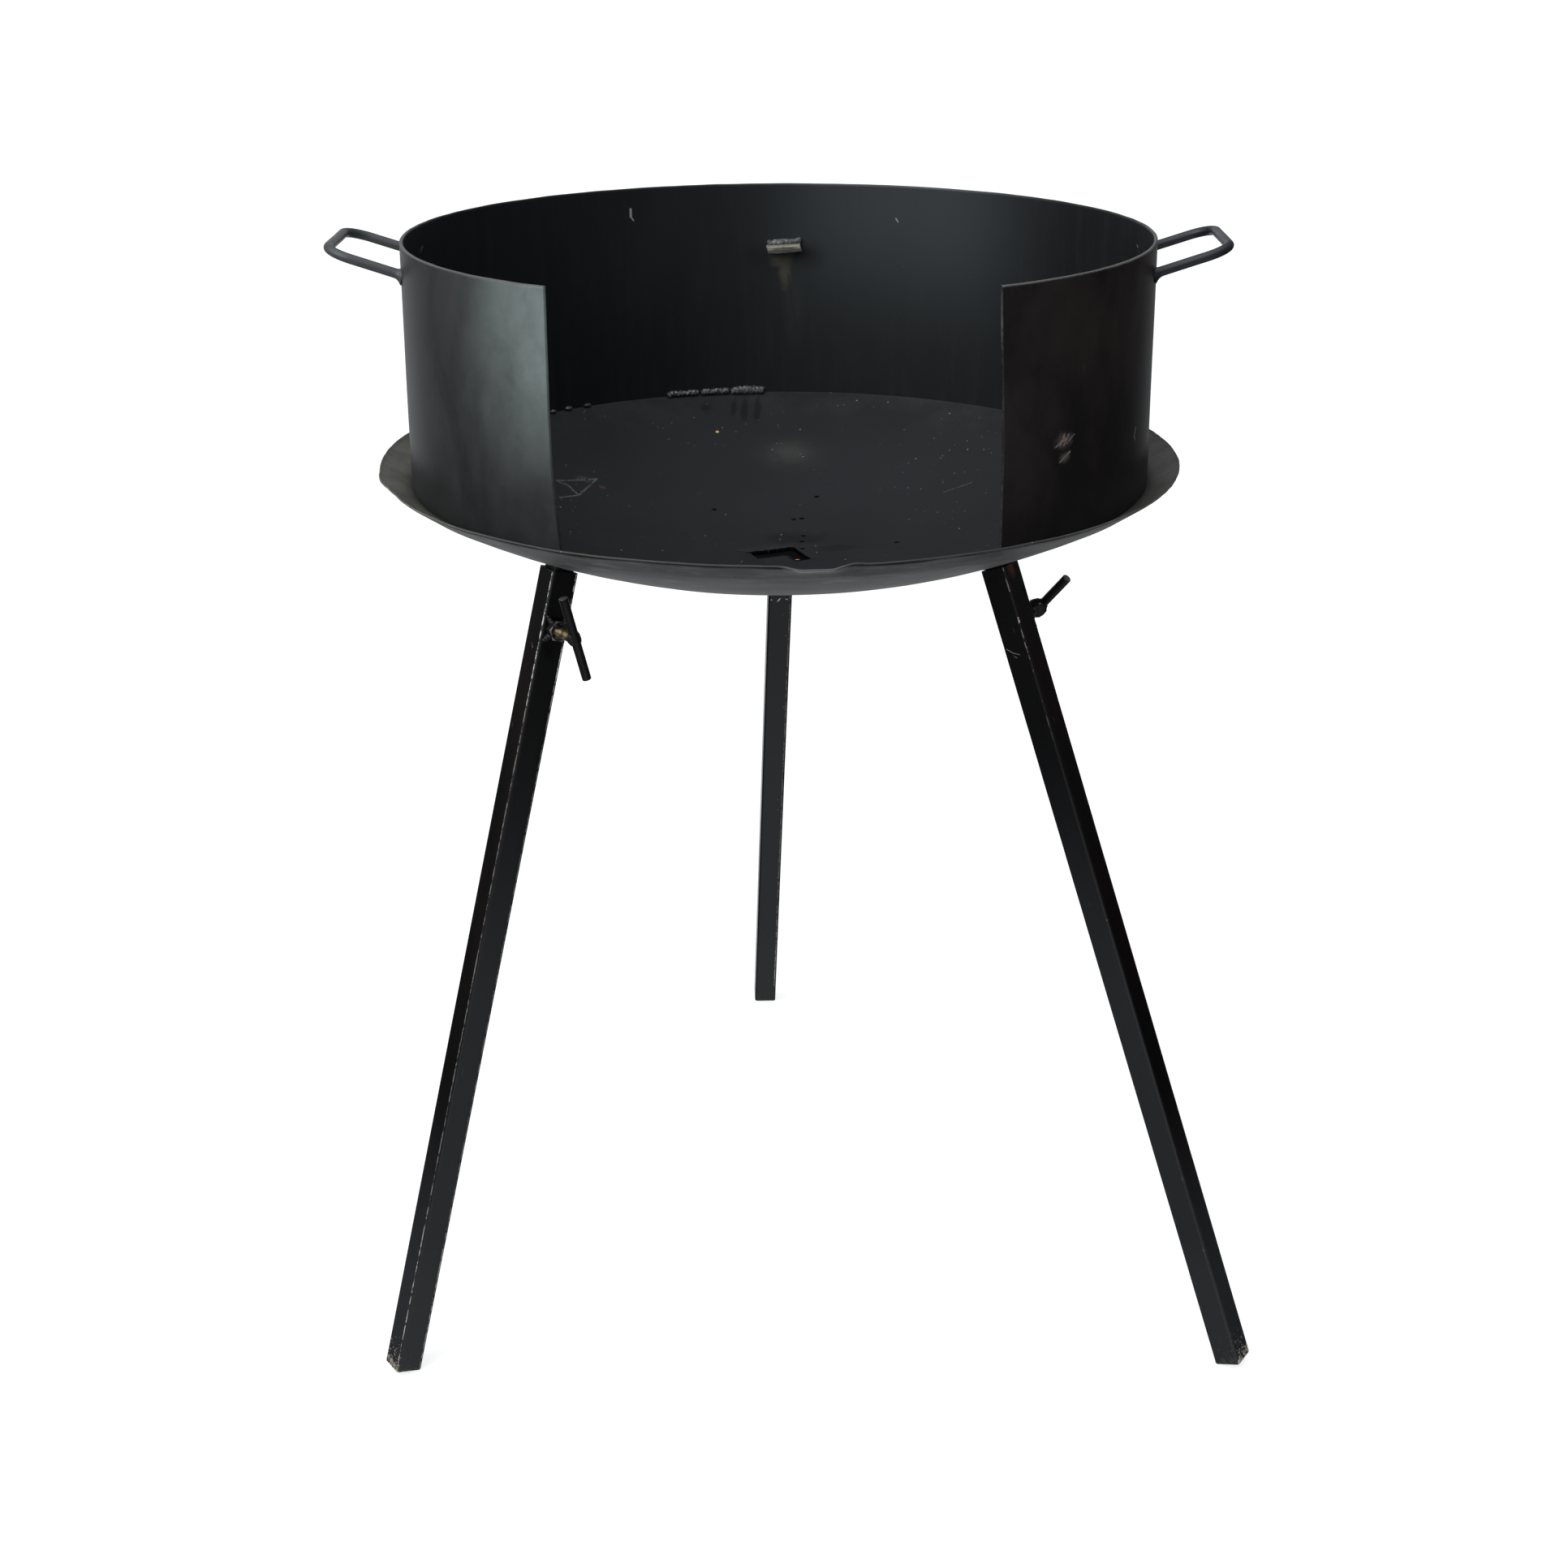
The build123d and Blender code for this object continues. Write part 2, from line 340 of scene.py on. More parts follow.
class Finish(Nodes):
    """Builds one procedural material. Places are in metres, in the piece's own axes."""

    def __init__(self, name):
        self.material = bpy.data.materials.new(name)
        self.material.use_nodes = True
        super().__init__(self.material.node_tree)
        self.place = self.add("ShaderNodeTexCoord").outputs["Object"]
        split = self.add("ShaderNodeSeparateXYZ", Vector=self.place)
        self.x, self.y, self.z = split.outputs
        self.colour = None

    @cached_property
    def azimuth(self):
        return self.math("ARCTAN2", self.y, self.x)

    @cached_property
    def wear(self):
        """The wear painted on the mesh."""
        return self.add("ShaderNodeAttribute", {"attribute_name": "wear"}).outputs["Fac"]

    # Masks: outputs that run from 0 to 1.

    def turn(self, low, high):
        """0 to 1 from one azimuth to another, in degrees from -180 to 180."""
        return self.step(self.azimuth, math.radians(low), math.radians(high))

    def noise(self, scale, detail=3.0, rough=0.55, stretch=(1, 1, 1), seed=0.0, warp=0.0):
        """Noise of scale cycles a metre. stretch squeezes the pattern along X, Y and Z."""
        place = self.vector("MULTIPLY", self.place, stretch)
        place = self.vector("ADD", place, (seed, seed, seed))
        node = self.add("ShaderNodeTexNoise", Vector=place, Scale=scale, Detail=detail)
        node.inputs["Roughness"].default_value = rough
        node.inputs["Distortion"].default_value = warp
        return node.outputs["Fac"]

    def dots(self, scale, size, share, seed=0.0):
        """Small round specks, scale of them a metre each way; share is how many show."""
        place = self.vector("ADD", self.place, (seed, seed, seed))
        node = self.add("ShaderNodeTexVoronoi", Vector=place, Scale=scale)
        near = self.step(node.outputs["Distance"], size, size * 0.5)
        pick = self.add("ShaderNodeSeparateColor", Color=node.outputs["Color"]).outputs[0]
        return self.times(near, self.math("GREATER_THAN", pick, 1 - share))

    def spot(self, centre, half, soft=0.5, ragged=0.0, scale=150.0):
        """An oval mark round a point in mm, fading out over the share soft of its size."""
        offset = self.vector("SUBTRACT", self.place, tuple(Vector(centre) * MM))
        offset = self.vector("DIVIDE", offset, tuple(h * MM for h in half))
        distance = self.vector("LENGTH", offset, output="Value")
        if ragged:
            wave = self.plus(self.noise(scale, seed=centre[0]), -0.5)
            distance = self.math("MULTIPLY_ADD", wave, ragged, distance)
        return self.step(distance, 1.0, 1.0 - soft)

    def spots(self, marks, place=polar):
        """Oval marks: the place's own numbers, then what spot takes."""
        return self.most(*[self.spot(place(*where), *how) for where, *how in marks])

    def stroke(self, start, end, width):
        """A thin line between two points in mm."""
        a, b = Vector(start) * MM, Vector(end) * MM
        run = b - a
        offset = self.vector("SUBTRACT", self.place, tuple(a))
        share = self.dot(offset, tuple(run / run.length_squared))
        share = self.math("MINIMUM", self.math("MAXIMUM", share, 0.0), 1.0)
        nearest = self.add("ShaderNodeVectorMath", {"operation": "SCALE"}, Scale=share)
        nearest.inputs[0].default_value = run
        gap = self.vector("DISTANCE", offset, nearest.outputs[0], output="Value")
        return self.step(gap, width * MM, width * MM * 0.35)

    def line(self, points, width):
        """A thin line through several points in mm."""
        return self.most(*[self.stroke(a, b, width) for a, b in zip(points, points[1:])])

    def most(self, *values):
        """The largest of several masks."""
        found = values[0]
        for value in values[1:]:
            found = self.math("MAXIMUM", found, value)
        return found

    def broken(self, value, grain, spread):
        """A value moved up and down by up to half of spread, as the grain goes from 0 to 1."""
        return self.plus(value, self.times(self.plus(grain, -0.5), spread))

    def painted_shade(self, grain=None):
        """Painted shade where the mesh's wear is below zero, with an edge broken up by the grain.
        """
        value = self.wear if grain is None else self.broken(self.wear, grain, 0.4)
        return self.step(value, -0.15, -0.6)

    # Colour: built up in self.colour, layer on layer.

    def mix(self, share, a, b):
        """Colour a where share is 0 and b where it is 1."""
        node = self.add("ShaderNodeMix", {"data_type": "RGBA"})
        for index, value in ((0, share), (6, shade(a)), (7, shade(b))):
            self.put(node.inputs[index], value)
        return node.outputs[2]

    def paint(self, mask, colour, strength=None):
        """Lays a colour over what is there, where the mask is 1."""
        share = mask if strength is None else self.times(mask, strength)
        self.colour = self.mix(share, self.colour, colour)

    def darken(self, mask, strength):
        """Keeps the colour where the mask is 1, and takes a share strength away where it is 0."""
        self.colour = self.mix(mask, self.mix(strength, self.colour, 0.0), self.colour)

    def bare(self, grain, metal, spread=0.6):
        """Bare metal where the mesh's wear is high, broken up by grain."""
        self.paint(self.step(self.broken(self.wear, grain, spread), 0.45, 0.85), metal)

    # Numbers, and the end of the material.

    def blend(self, share, a, b):
        """Number a where share is 0 and b where it is 1."""
        node = self.add("ShaderNodeMix")
        for index, value in ((0, share), (2, a), (3, b)):
            self.put(node.inputs[index], value)
        return node.outputs[0]

    def heights(self, *layers):
        """The sum of layers of height, each a mask and its share."""
        found = self.times(*layers[0])
        for layer in layers[1:]:
            found = self.plus(found, self.times(*layer))
        return found

    def surface(self, rough, height, depth, metal=0.0, gloss=0.5):
        """Ends the material. depth is the bump's height in mm. gloss is the specular level."""
        shader = self.add("ShaderNodeBsdfPrincipled", Base_Color=self.colour)
        given = {"Roughness": rough, "Metallic": metal, "Specular IOR Level": gloss}
        for name, value in given.items():
            self.put(shader.inputs[name], value)
        bump = self.add("ShaderNodeBump", Height=height, Distance=depth * MM)
        self.put(shader.inputs["Normal"], bump.outputs[0])
        out = self.add("ShaderNodeOutputMaterial")
        self.put(out.inputs["Surface"], shader.outputs[0])
        return self.material


# Marks on the pan, each at a radius and azimuth: size in mm, softness, raggedness and its scale.
PAN_SMUDGES = (
    ((300, 99.5), (5, 24, 30), 0.6, 0.8, 130),
    ((302, 101.6), (4, 20, 30), 0.6, 0.8, 130),
    ((299, 97.0), (5, 27, 30), 0.6, 0.8, 130),
    ((306, 107.0), (7, 10, 30), 0.7, 0.9, 130),
    ((52, 75), (46, 24, 30), 0.7, 0.9, 60),
    ((58, 20), (26, 16, 30), 0.7, 0.9, 60),
)
PAN_STAIN_HALO = (on_pan(228, 90.1), (54, 44, 40), 0.95, 0.4, 60)
PAN_STAIN = (on_pan(231, 90.1), (29, 25, 40), 0.9, 0.7, 110)
PAN_DARK_MIDDLE = ((80, 40, 710), (230, 130, 200), 0.95)
PAN_POWDER = (on_pan(230, 148), (16, 8, 6), 0.95, 0.9, 260)
PAN_RED_MARK = (on_pan(211.4, 146.8), (6, 4, 4), 0.8, 1.0, 260)
PAN_BRASS_CHIP = (on_pan(268.4, 106.3), (2.2, 2.4, 2.2), 0.4)
# Chalk lines, a scrape and pits, as (radius, azimuth) on the pan.
PAN_CHALK = (
    (240.9, 155.4), (224.8, 144.8), (212.6, 156.8), (220.4, 162.8), (212.6, 156.8),
    (229.3, 154.6), (240.9, 155.4),
)
PAN_SCRAPE = ((222, 36), (196, 39))
PAN_PITS = (
    (131, 121.5), (101.6, 80.7), (98.9, 84.9), (61.2, 71.4), (46.7, 66.6), (29.7, 47.6),
    (108.7, 9.9), (150.3, 78.8),
)
PIT_SIZE = (3.4, 2.7, 4)


def pan_inside():
    """Satin black over an old plough disc: specks, chalk marks, smudges and a pale stain."""
    f = Finish("pan_inside")
    radius = f.vector("LENGTH", f.vector("MULTIPLY", f.place, (1, 1, 0)), output="Value")
    cloud = f.noise(9, 5, 0.66, warp=0.3)
    grain = f.noise(420, 3, 0.7)
    f.colour = f.mix(cloud, (0.0082, 0.0084, 0.0104), (0.0162, 0.0166, 0.0200))
    f.darken(f.step(grain, 0.35, 0.75), 0.12)
    # Painted shade: the right half of the pan is darker.
    f.paint(f.step(f.x, 0.02, 0.22), (0.006, 0.0062, 0.0072), 0.4)
    f.paint(f.spot(*PAN_DARK_MIDDLE), (0.006, 0.006, 0.0075), 0.34)
    dusty = f.times(f.step(radius, 0.26, 0.33), f.step(f.noise(17, 4, 0.7, seed=2), 0.35, 0.7))
    f.paint(dusty, (0.040, 0.040, 0.039), 0.40)
    # The flange outside the wind shell: olive dust on the left, browner right, dark in front.
    inside = f.colour
    f.colour = f.mix(f.step(f.x, 0.1, -0.2), (0.086, 0.080, 0.074), (0.132, 0.128, 0.106))
    streaked = f.step(f.noise(34, 5, 0.75, seed=3), 0.30, 0.62)
    f.colour = f.mix(streaked, f.mix(0.5, f.colour, 0.02), f.colour)
    f.paint(f.step(f.y, -0.20, -0.31), (0.026, 0.026, 0.027), 0.8)
    f.colour = f.mix(f.step(radius, 0.322, 0.338), inside, f.colour)
    f.paint(f.spot(*PAN_STAIN_HALO), (0.040, 0.040, 0.037), 0.32)
    f.paint(f.spot(*PAN_STAIN), (0.062, 0.063, 0.057), 0.40)
    smudge = f.spots(PAN_SMUDGES, on_pan)
    f.paint(smudge, (0.0035, 0.0035, 0.004), 0.68)
    chalk = f.line([on_pan(*place) for place in PAN_CHALK], 1.6)
    scrape = f.line([on_pan(*place) for place in PAN_SCRAPE], 1.1)
    chalk = f.most(chalk, f.times(scrape, 0.6), f.times(f.spot(*PAN_POWDER), 0.6))
    chalk = f.times(chalk, f.step(f.noise(240, 3, 0.8, seed=7), 0.36, 0.58))
    f.paint(chalk, (0.15, 0.146, 0.142), 0.8)
    f.paint(f.spot(*PAN_RED_MARK), (0.10, 0.05, 0.032), 0.7)
    fine = f.times(f.dots(150, 0.13, 0.5, seed=3), f.step(cloud, 0.45, 0.62), 0.45)
    tint = f.mix(f.step(f.noise(15, 0), 0.45, 0.6), (0.50, 0.40, 0.20), (0.42, 0.42, 0.40))
    f.paint(f.most(f.times(f.dots(60, 0.060, 0.5), 0.85), fine), tint)
    pits = f.spots([(place, PIT_SIZE) for place in PAN_PITS], on_pan)
    f.paint(pits, 0.001)
    f.paint(f.spot(*PAN_BRASS_CHIP), (0.75, 0.50, 0.14))
    f.bare(grain, (0.075, 0.074, 0.070))
    # Painted shade where the wear is below zero: round the hub hole's edge and at the lip.
    f.paint(f.painted_shade(grain), (0.0025, 0.0025, 0.0028))
    dull = f.most(pits, f.times(smudge, 0.22), f.painted_shade())
    rough = f.blend(dull, f.blend(cloud, 0.50, 0.64), 0.9)
    height = f.heights((grain, 0.4), (f.noise(60, 3), 0.6))
    return f.surface(rough, height, 0.12, gloss=f.blend(dull, 0.36, 0.03))


def pan_outside():
    """The underside: the same black, rubbed grey with smears that run round it."""
    f = Finish("pan_outside")
    smear = f.noise(11, 5, 0.65, stretch=(1, 1, 7), warp=0.4)
    grain = f.noise(500, 2, 0.6)
    f.colour = f.mix(f.step(smear, 0.3, 0.7), (0.019, 0.019, 0.0215), (0.059, 0.058, 0.058))
    rub = f.step(f.noise(24, 5, 0.75, stretch=(1, 1, 5), seed=5), 0.52, 0.70)
    f.paint(rub, (0.125, 0.122, 0.115), 0.5)
    f.paint(f.step(f.z, 0.735, 0.715), (0.085, 0.085, 0.082), 0.35)
    f.bare(grain, (0.15, 0.147, 0.135))
    # Painted shade where the wear is below zero: under the lip and on the hub hole's wall.
    f.paint(f.painted_shade(grain), (0.0025, 0.0025, 0.0028))
    height = f.heights((grain, 0.35), (smear, 0.65))
    gloss = f.blend(f.painted_shade(), 0.5, 0.22)
    return f.surface(f.blend(smear, 0.45, 0.6), height, 0.15, gloss=gloss)


PLATE_RUST = ((15.8, 1.6, 699.3), (2.4, 1.3, 2.0), 0.5, 0.5, 400)


def plate_steel():
    """The plate under the hub hole: dusty on top where it shows, painted shade by the far edges."""
    f = Finish("plate_steel")
    cloud = f.noise(60, 4, 0.6)
    f.colour = f.mix(cloud, (0.018, 0.018, 0.019), (0.032, 0.031, 0.031))
    # Painted shade: a dark band along each of the two far edges of the hole.
    for turn in (HUB_HOLE_TURN, HUB_HOLE_TURN + 90):
        across = f.dot(f.place, tuple(polar(1, turn)))
        f.paint(f.step(across, 0.008, 0.014), (0.0012, 0.0012, 0.0014))
    below = f.mix(cloud, (0.008, 0.008, 0.009), (0.020, 0.020, 0.021))
    f.paint(f.step(f.z, 0.6985, 0.6970), below)
    f.paint(f.spot(*PLATE_RUST), (0.85, 0.30, 0.08))
    height = f.heights((f.noise(500, 3), 0.4), (cloud, 0.6))
    return f.surface(0.85, height, 0.2, gloss=0.08)


# Marks on the wind shell. Places are radius, azimuth and height.
WIPED_STREAK = ((327, 214.6, 916), (327, 218.6, 883), (327, 220.9, 857), (327, 222.4, 812))
SCUFFS = (
    ((326.7, 316, 867), (15, 12, 9), 0.95, 1.1, 190),
    ((326.7, 316.3, 853), (10, 9, 6), 0.95, 1.1, 190),
)
SCUFF_MIDDLE = ((326.7, 316.2, 867.5), (4, 3, 2.2), 0.8, 0.9, 300)
# Ticks in the scuffs and a nick beside them: azimuth and height at both ends, and width.
SCUFF_TICKS = (
    (314.2, 863, 316.2, 868, 1.0),
    (315.1, 862, 316.1, 872, 1.1),
    (316.0, 863, 317.0, 871, 0.9),
    (316.6, 864, 318.2, 870, 0.9),
    (315.2, 850, 317.4, 857, 1.2),
    (338.0, 853, 337.4, 847, 1.2),
    (337.4, 847, 337.9, 843, 1.2),
)
INNER_NICKS = (
    (119.7, 975, 119.7, 968, 1.8),
    (119.7, 968, 119.2, 964, 1.2),
    (71.3, 963, 70.9, 960, 1.3),
)
LUG_DUST = (
    ((322, 91.9, 921), (17, 30, 13), 0.85, 0.8, 90),
    ((322, 91.6, 908), (9, 30, 25), 0.85, 0.8, 90),
)
LUG_TRAIL = ((323, 90.0, 872), (15, 30, 58), 0.95, 0.7, 60)
LUG_STREAK = (((322, 91.0, 905), (323, 89.9, 866), 2.0), ((323, 89.9, 866), (323, 88.6, 830), 1.7))
# Painted shade on the wall on each side of the rear lug.
LUG_PAINTED_SHADE = (
    ((322, 96.8, 923), (20, 20, 20), 0.95, 0.5, 60),
    ((322, 86.6, 925), (20, 20, 20), 0.95, 0.5, 60),
)
INNER_NUB = ((322, 69.7, 869.3), (3, 3, 2.4), 0.5, 0.6, 300)


def strokes(f, radius, marks):
    """Thin lines on the wall at a radius."""
    return f.most(*[
        f.stroke(polar(radius, a, low), polar(radius, b, high), width)
        for a, low, b, high, width in marks
    ])


def shell_outside():
    """Satin black heat paint, bleached with painted sheen left of the opening, brown with painted
    shade on the right.
    """
    f = Finish("shell_outside")
    cloud = f.noise(13, 6, 0.68, stretch=(1, 1, 0.6), warp=0.3)
    clouded = f.step(cloud, 0.3, 0.7)
    fine = f.noise(380, 3, 0.6)
    blotch = f.step(f.noise(30, 5, 0.7, seed=5), 0.32, 0.68)
    f.colour = f.mix(clouded, (0.0085, 0.0087, 0.0094), (0.0215, 0.0220, 0.0228))
    # Bleached paint beside the left of the opening, with painted sheen: lighter towards the top.
    bleach_and_sheen = f.times(
        f.turn(-145, -117), f.turn(-150, -126), f.turn(-80, -100), f.step(f.z, 0.81, 0.965),
        f.blend(clouded, 0.62, 1.1), f.blend(blotch, 0.85, 1.1),
    )
    f.paint(bleach_and_sheen, (0.124, 0.150, 0.146))
    # Brown paint on the right wing, darkened further as painted shade.
    brown_and_shade = f.mix(f.step(cloud, 0.35, 0.7), (0.0040, 0.0030, 0.0032), (0.0125, 0.0088, 0.0084))
    f.paint(f.times(f.step(f.x, 0.05, 0.2), f.turn(22, -4)), brown_and_shade)
    streak = f.line([polar(*place) for place in WIPED_STREAK], 15)
    f.paint(f.times(streak, f.blend(blotch, 0.10, 0.5)), 0.005)
    # Painted shade: the left side of the wall is darker towards the bottom.
    f.paint(f.times(f.turn(-136, -150), f.step(f.z, 0.87, 0.80)), 0.007, 0.5)
    hair = f.step(f.noise(160, 4, 0.75, stretch=(1, 1, 0.12), seed=11), 0.64, 0.80)
    f.paint(hair, (0.085, 0.086, 0.084), 0.20)
    f.paint(f.spots(SCUFFS), (0.075, 0.062, 0.058), 0.75)
    ticks = f.times(strokes(f, 326.7, SCUFF_TICKS), f.step(fine, 0.36, 0.60))
    f.paint(ticks, (0.19, 0.16, 0.145))
    f.paint(f.spots([SCUFF_MIDDLE]), (0.22, 0.075, 0.045))
    f.bare(fine, (0.078, 0.076, 0.072), spread=0.5)
    height = f.heights((fine, 0.4), (f.noise(34, 3), 0.6))
    return f.surface(f.blend(cloud, 0.42, 0.52), height, 0.07)


def shell_inside():
    """Blue-black with faint uprights, dust under the rear lug, small scratches, painted shade and
    reflection.
    """
    f = Finish("shell_inside")
    cloud = f.noise(10, 5, 0.6, stretch=(1, 1, 0.4))
    fine = f.noise(380, 3, 0.6)
    f.colour = f.mix(cloud, (0.0042, 0.0056, 0.0078), (0.0098, 0.0126, 0.0148))
    # Painted shade: the wall is darker towards the bottom.
    f.darken(f.step(f.z, 0.80, 0.95), 0.35)
    # Paler blue-green at the back, lighter towards the top as painted reflection.
    pale = f.times(f.turn(100, 78), f.turn(38, 64), f.step(f.z, 0.83, 0.97))
    f.paint(pale, (0.034, 0.044, 0.049), 0.6)
    # Painted shade on the right of the wall.
    f.paint(f.turn(58, 32), (0.002, 0.0024, 0.003), 0.62)
    upright = f.step(f.noise(90, 4, 0.7, stretch=(1, 1, 0.10), seed=4), 0.45, 0.75)
    f.paint(upright, (0.018, 0.023, 0.026), 0.30)
    f.paint(f.spots(LUG_DUST), (0.082, 0.074, 0.052), 0.72)
    f.paint(f.spots([LUG_TRAIL]), (0.036, 0.035, 0.030), 0.30)
    streak = f.most(*[f.stroke(polar(*a), polar(*b), width) for a, b, width in LUG_STREAK])
    f.paint(streak, 0.004, 0.5)
    # Painted shade beside the rear lug.
    f.paint(f.spots(LUG_PAINTED_SHADE), 0.003, 0.6)
    f.paint(strokes(f, 322, INNER_NICKS), (0.33, 0.33, 0.30))
    f.paint(f.spots([INNER_NUB]), 0.002)
    f.bare(fine, (0.078, 0.076, 0.072), spread=0.5)
    nubs = f.dots(62, 0.09, 0.14, seed=2)
    height = f.heights((fine, 0.3), (f.noise(34, 3), 0.5), (nubs, 0.9))
    return f.surface(f.blend(cloud, 0.44, 0.54), height, 0.12)


# Scratches of each leg's own, on the tube's faces: start, end, width and strength.
REAR_MARKS = (
    ((-12.5, 2.4, -102.5), (-12.5, 0.2, -99.2), 0.8, 1.0),
    ((-12.5, 9.4, -101.2), (-12.5, 8.8, -100.6), 0.8, 0.8),
    ((-12.5, -6.2, -99.6), (-12.5, -7.4, -100.2), 0.8, 0.9),
    ((-12.5, -11.2, -99.0), (-12.5, -11.8, -102.0), 0.6, 0.8),
)
LEFT_MARKS = (((12.5, 2.2, -20.0), (12.5, 0.0, -16.5), 0.55, 0.35),)
RIGHT_MARKS = (
    ((-9.0, -12.5, -21.0), (-3.5, -12.5, -25.5), 0.5, 0.5),
    ((-3.5, -12.5, -25.5), (2.0, -12.5, -27.6), 0.5, 0.35),
    ((-4.5, -12.5, -27.5), (-1.5, -12.5, -30.0), 0.5, 0.3),
    ((11.0, -12.1, 4.0), (10.8, -12.3, 0.0), 1.0, 1.0),
)
TUBE_RUST = ((12.6, -3.0, 48), (3, 7, 15), 0.8, 0.8, 140)


def tube_paint(side, tint, foot, bare, shine, dusty, marks, rust=0.0):
    """Gloss black on square tube: bare steel corners with painted glints, scratches, a battered
    foot.

    tint is the colour of its outer face, foot the height of its foot in its own axes, in
    metres, bare how much of the corners shows, shine how bright they are as painted glints,
    dusty how pale its lower part is, marks its own scratches and rust how much shows at the top.
    """
    f = Finish(f"tube_paint_{side}")
    fine = f.noise(800, 3, 0.65)
    cloud = f.noise(22, 4, 0.6, stretch=(1, 1, 0.3))
    f.colour = f.mix(cloud, (0.0010, 0.0010, 0.0012), (0.0034, 0.0035, 0.0039))
    outer_side = f.step(f.x, 0.0110, 0.0122)
    f.paint(f.times(outer_side, f.step(cloud, 0.35, 0.7)), tint)
    above = f.plus(f.z, -foot)
    inward = f.times(f.step(above, 0.64, 0.34), f.math("SUBTRACT", 1.0, outer_side))
    pale = f.most(f.times(inward, 0.75), f.times(f.step(above, 0.30, 0.06), 0.95))
    f.paint(pale, (0.0185, 0.0192, 0.0215), dusty)
    patchy = f.noise(60, 5, 0.75, stretch=(1, 1, 0.12), seed=6)
    patchy = f.step(patchy, 1.0 - bare, 1.15 - bare)
    beads = f.step(f.noise(330, 3, 0.7, stretch=(1, 1, 0.5), seed=3), 0.40, 0.60)
    corner = f.times(f.wear, f.times(patchy, f.blend(beads, 0.60, 1.0)))
    chips = f.step(f.broken(corner, fine, 0.45), 0.58, 0.86)
    f.paint(f.step(f.wear, 0.3, 1.0), (0.05, 0.048, 0.042), 0.18)
    rubbed = f.most(f.step(f.z, -0.13, 0.0), f.times(f.step(above, 0.22, 0.10), 0.5), 0.2)
    # Bare steel on the corners, near white as painted glints; shine sets how bright on each leg.
    f.paint(f.times(chips, f.times(rubbed, shine)), (0.74, 0.73, 0.67))
    hair = f.step(f.noise(210, 2, 0.5, stretch=(1, 1, 0.15), seed=9), 0.76, 0.82)
    f.paint(f.most(f.dots(85, 0.07, 0.09, seed=1), hair), (0.17, 0.16, 0.13), 0.45)
    nicks = f.most(*[f.times(f.stroke(*line), strength) for *line, strength in marks])
    f.paint(f.times(nicks, f.step(fine, 0.38, 0.54)), (0.46, 0.44, 0.39))
    f.paint(f.spot(*TUBE_RUST), (0.060, 0.017, 0.006), rust)
    low = f.step(above, 0.040, 0.002)
    speckle = f.plus(f.noise(520, 2, 0.5, seed=4), f.times(low, 0.08))
    scab = f.times(f.step(above, 0.009, 0.003), f.step(f.noise(260, 5, 0.75, seed=2), 0.48, 0.57))
    scab = f.most(scab, f.times(low, f.step(speckle, 0.67, 0.70)))
    dust = f.mix(f.noise(130, 2, seed=5), (0.15, 0.10, 0.06), (0.48, 0.46, 0.40))
    f.paint(f.times(scab, f.blend(outer_side, 0.04, 1.0)), dust)
    height = f.heights((fine, 0.2), (f.noise(45, 3), 0.8), (chips, -0.5))
    rough = f.blend(f.most(chips, scab), f.blend(cloud, 0.20, 0.30), 0.55)
    return f.surface(rough, height, 0.10, metal=f.times(chips, 0.3))


def rod_paint_lit_shaded(side, dark, light):
    """Semi-gloss black on round rod, thin on the outside of the bends, with painted light per side.
    """
    f = Finish(f"rod_paint_lit_shaded_{side}")
    cloud = f.noise(45, 4, 0.6)
    f.colour = f.mix(cloud, dark, light)
    worn = f.step(f.broken(f.wear, f.noise(150, 4, 0.7), 0.9), 0.6, 0.95)
    f.paint(worn, (0.10, 0.098, 0.09), 0.7)
    height = f.heights((f.noise(600, 2, 0.6), 0.4), (f.noise(90, 3), 0.6))
    return f.surface(f.blend(cloud, 0.36, 0.48), height, 0.10)


def weld_metal(name, dark, light, bare=0.3):
    """Weld bead painted over, with bare crests and bright spatter brightened as painted glints."""
    f = Finish(name)
    lumps = f.noise(330, 4, 0.7)
    crest = f.step(lumps, 0.46, 0.68)
    f.colour = f.mix(crest, dark, light)
    # Bright specks: spatter, brightened as painted glints.
    f.paint(f.dots(210, 0.20, 0.22), (0.50, 0.49, 0.46), 0.8)
    height = f.heights((lumps, 0.7), (f.noise(900, 2), 0.3))
    return f.surface(f.blend(crest, 0.50, 0.38), height, 0.45, metal=f.times(crest, bare))


def lug_steel():
    """Sawn flat bar: black with lines along the sawn face and dust on its top edge."""
    f = Finish("lug_steel")
    lines = f.noise(60, 4, 0.7, stretch=(0.4, 0.4, 16))
    f.colour = f.mix(f.step(lines, 0.3, 0.7), (0.030, 0.029, 0.027), (0.135, 0.130, 0.112))
    f.paint(f.times(f.wear, f.step(f.noise(170, 3, 0.7), 0.15, 0.5)), (0.36, 0.335, 0.255))
    return f.surface(0.6, lines, 0.25)


def zinc_yellow(side, overspray):
    """Yellow zinc plate on the clamp screws; overspray is the share under black paint."""
    f = Finish(f"zinc_{side}")
    cloud = f.noise(210, 4, 0.6)
    f.colour = f.mix(cloud, (0.20, 0.145, 0.062), (0.38, 0.31, 0.17))
    paint = f.step(f.noise(140, 4, 0.7, seed=8), 0.92 - overspray, 0.98 - overspray)
    f.paint(paint, (0.010, 0.009, 0.008))
    rough = f.blend(cloud, 0.28, 0.45)
    return f.surface(rough, f.noise(900, 2), 0.05, metal=f.blend(paint, 0.9, 0.0))


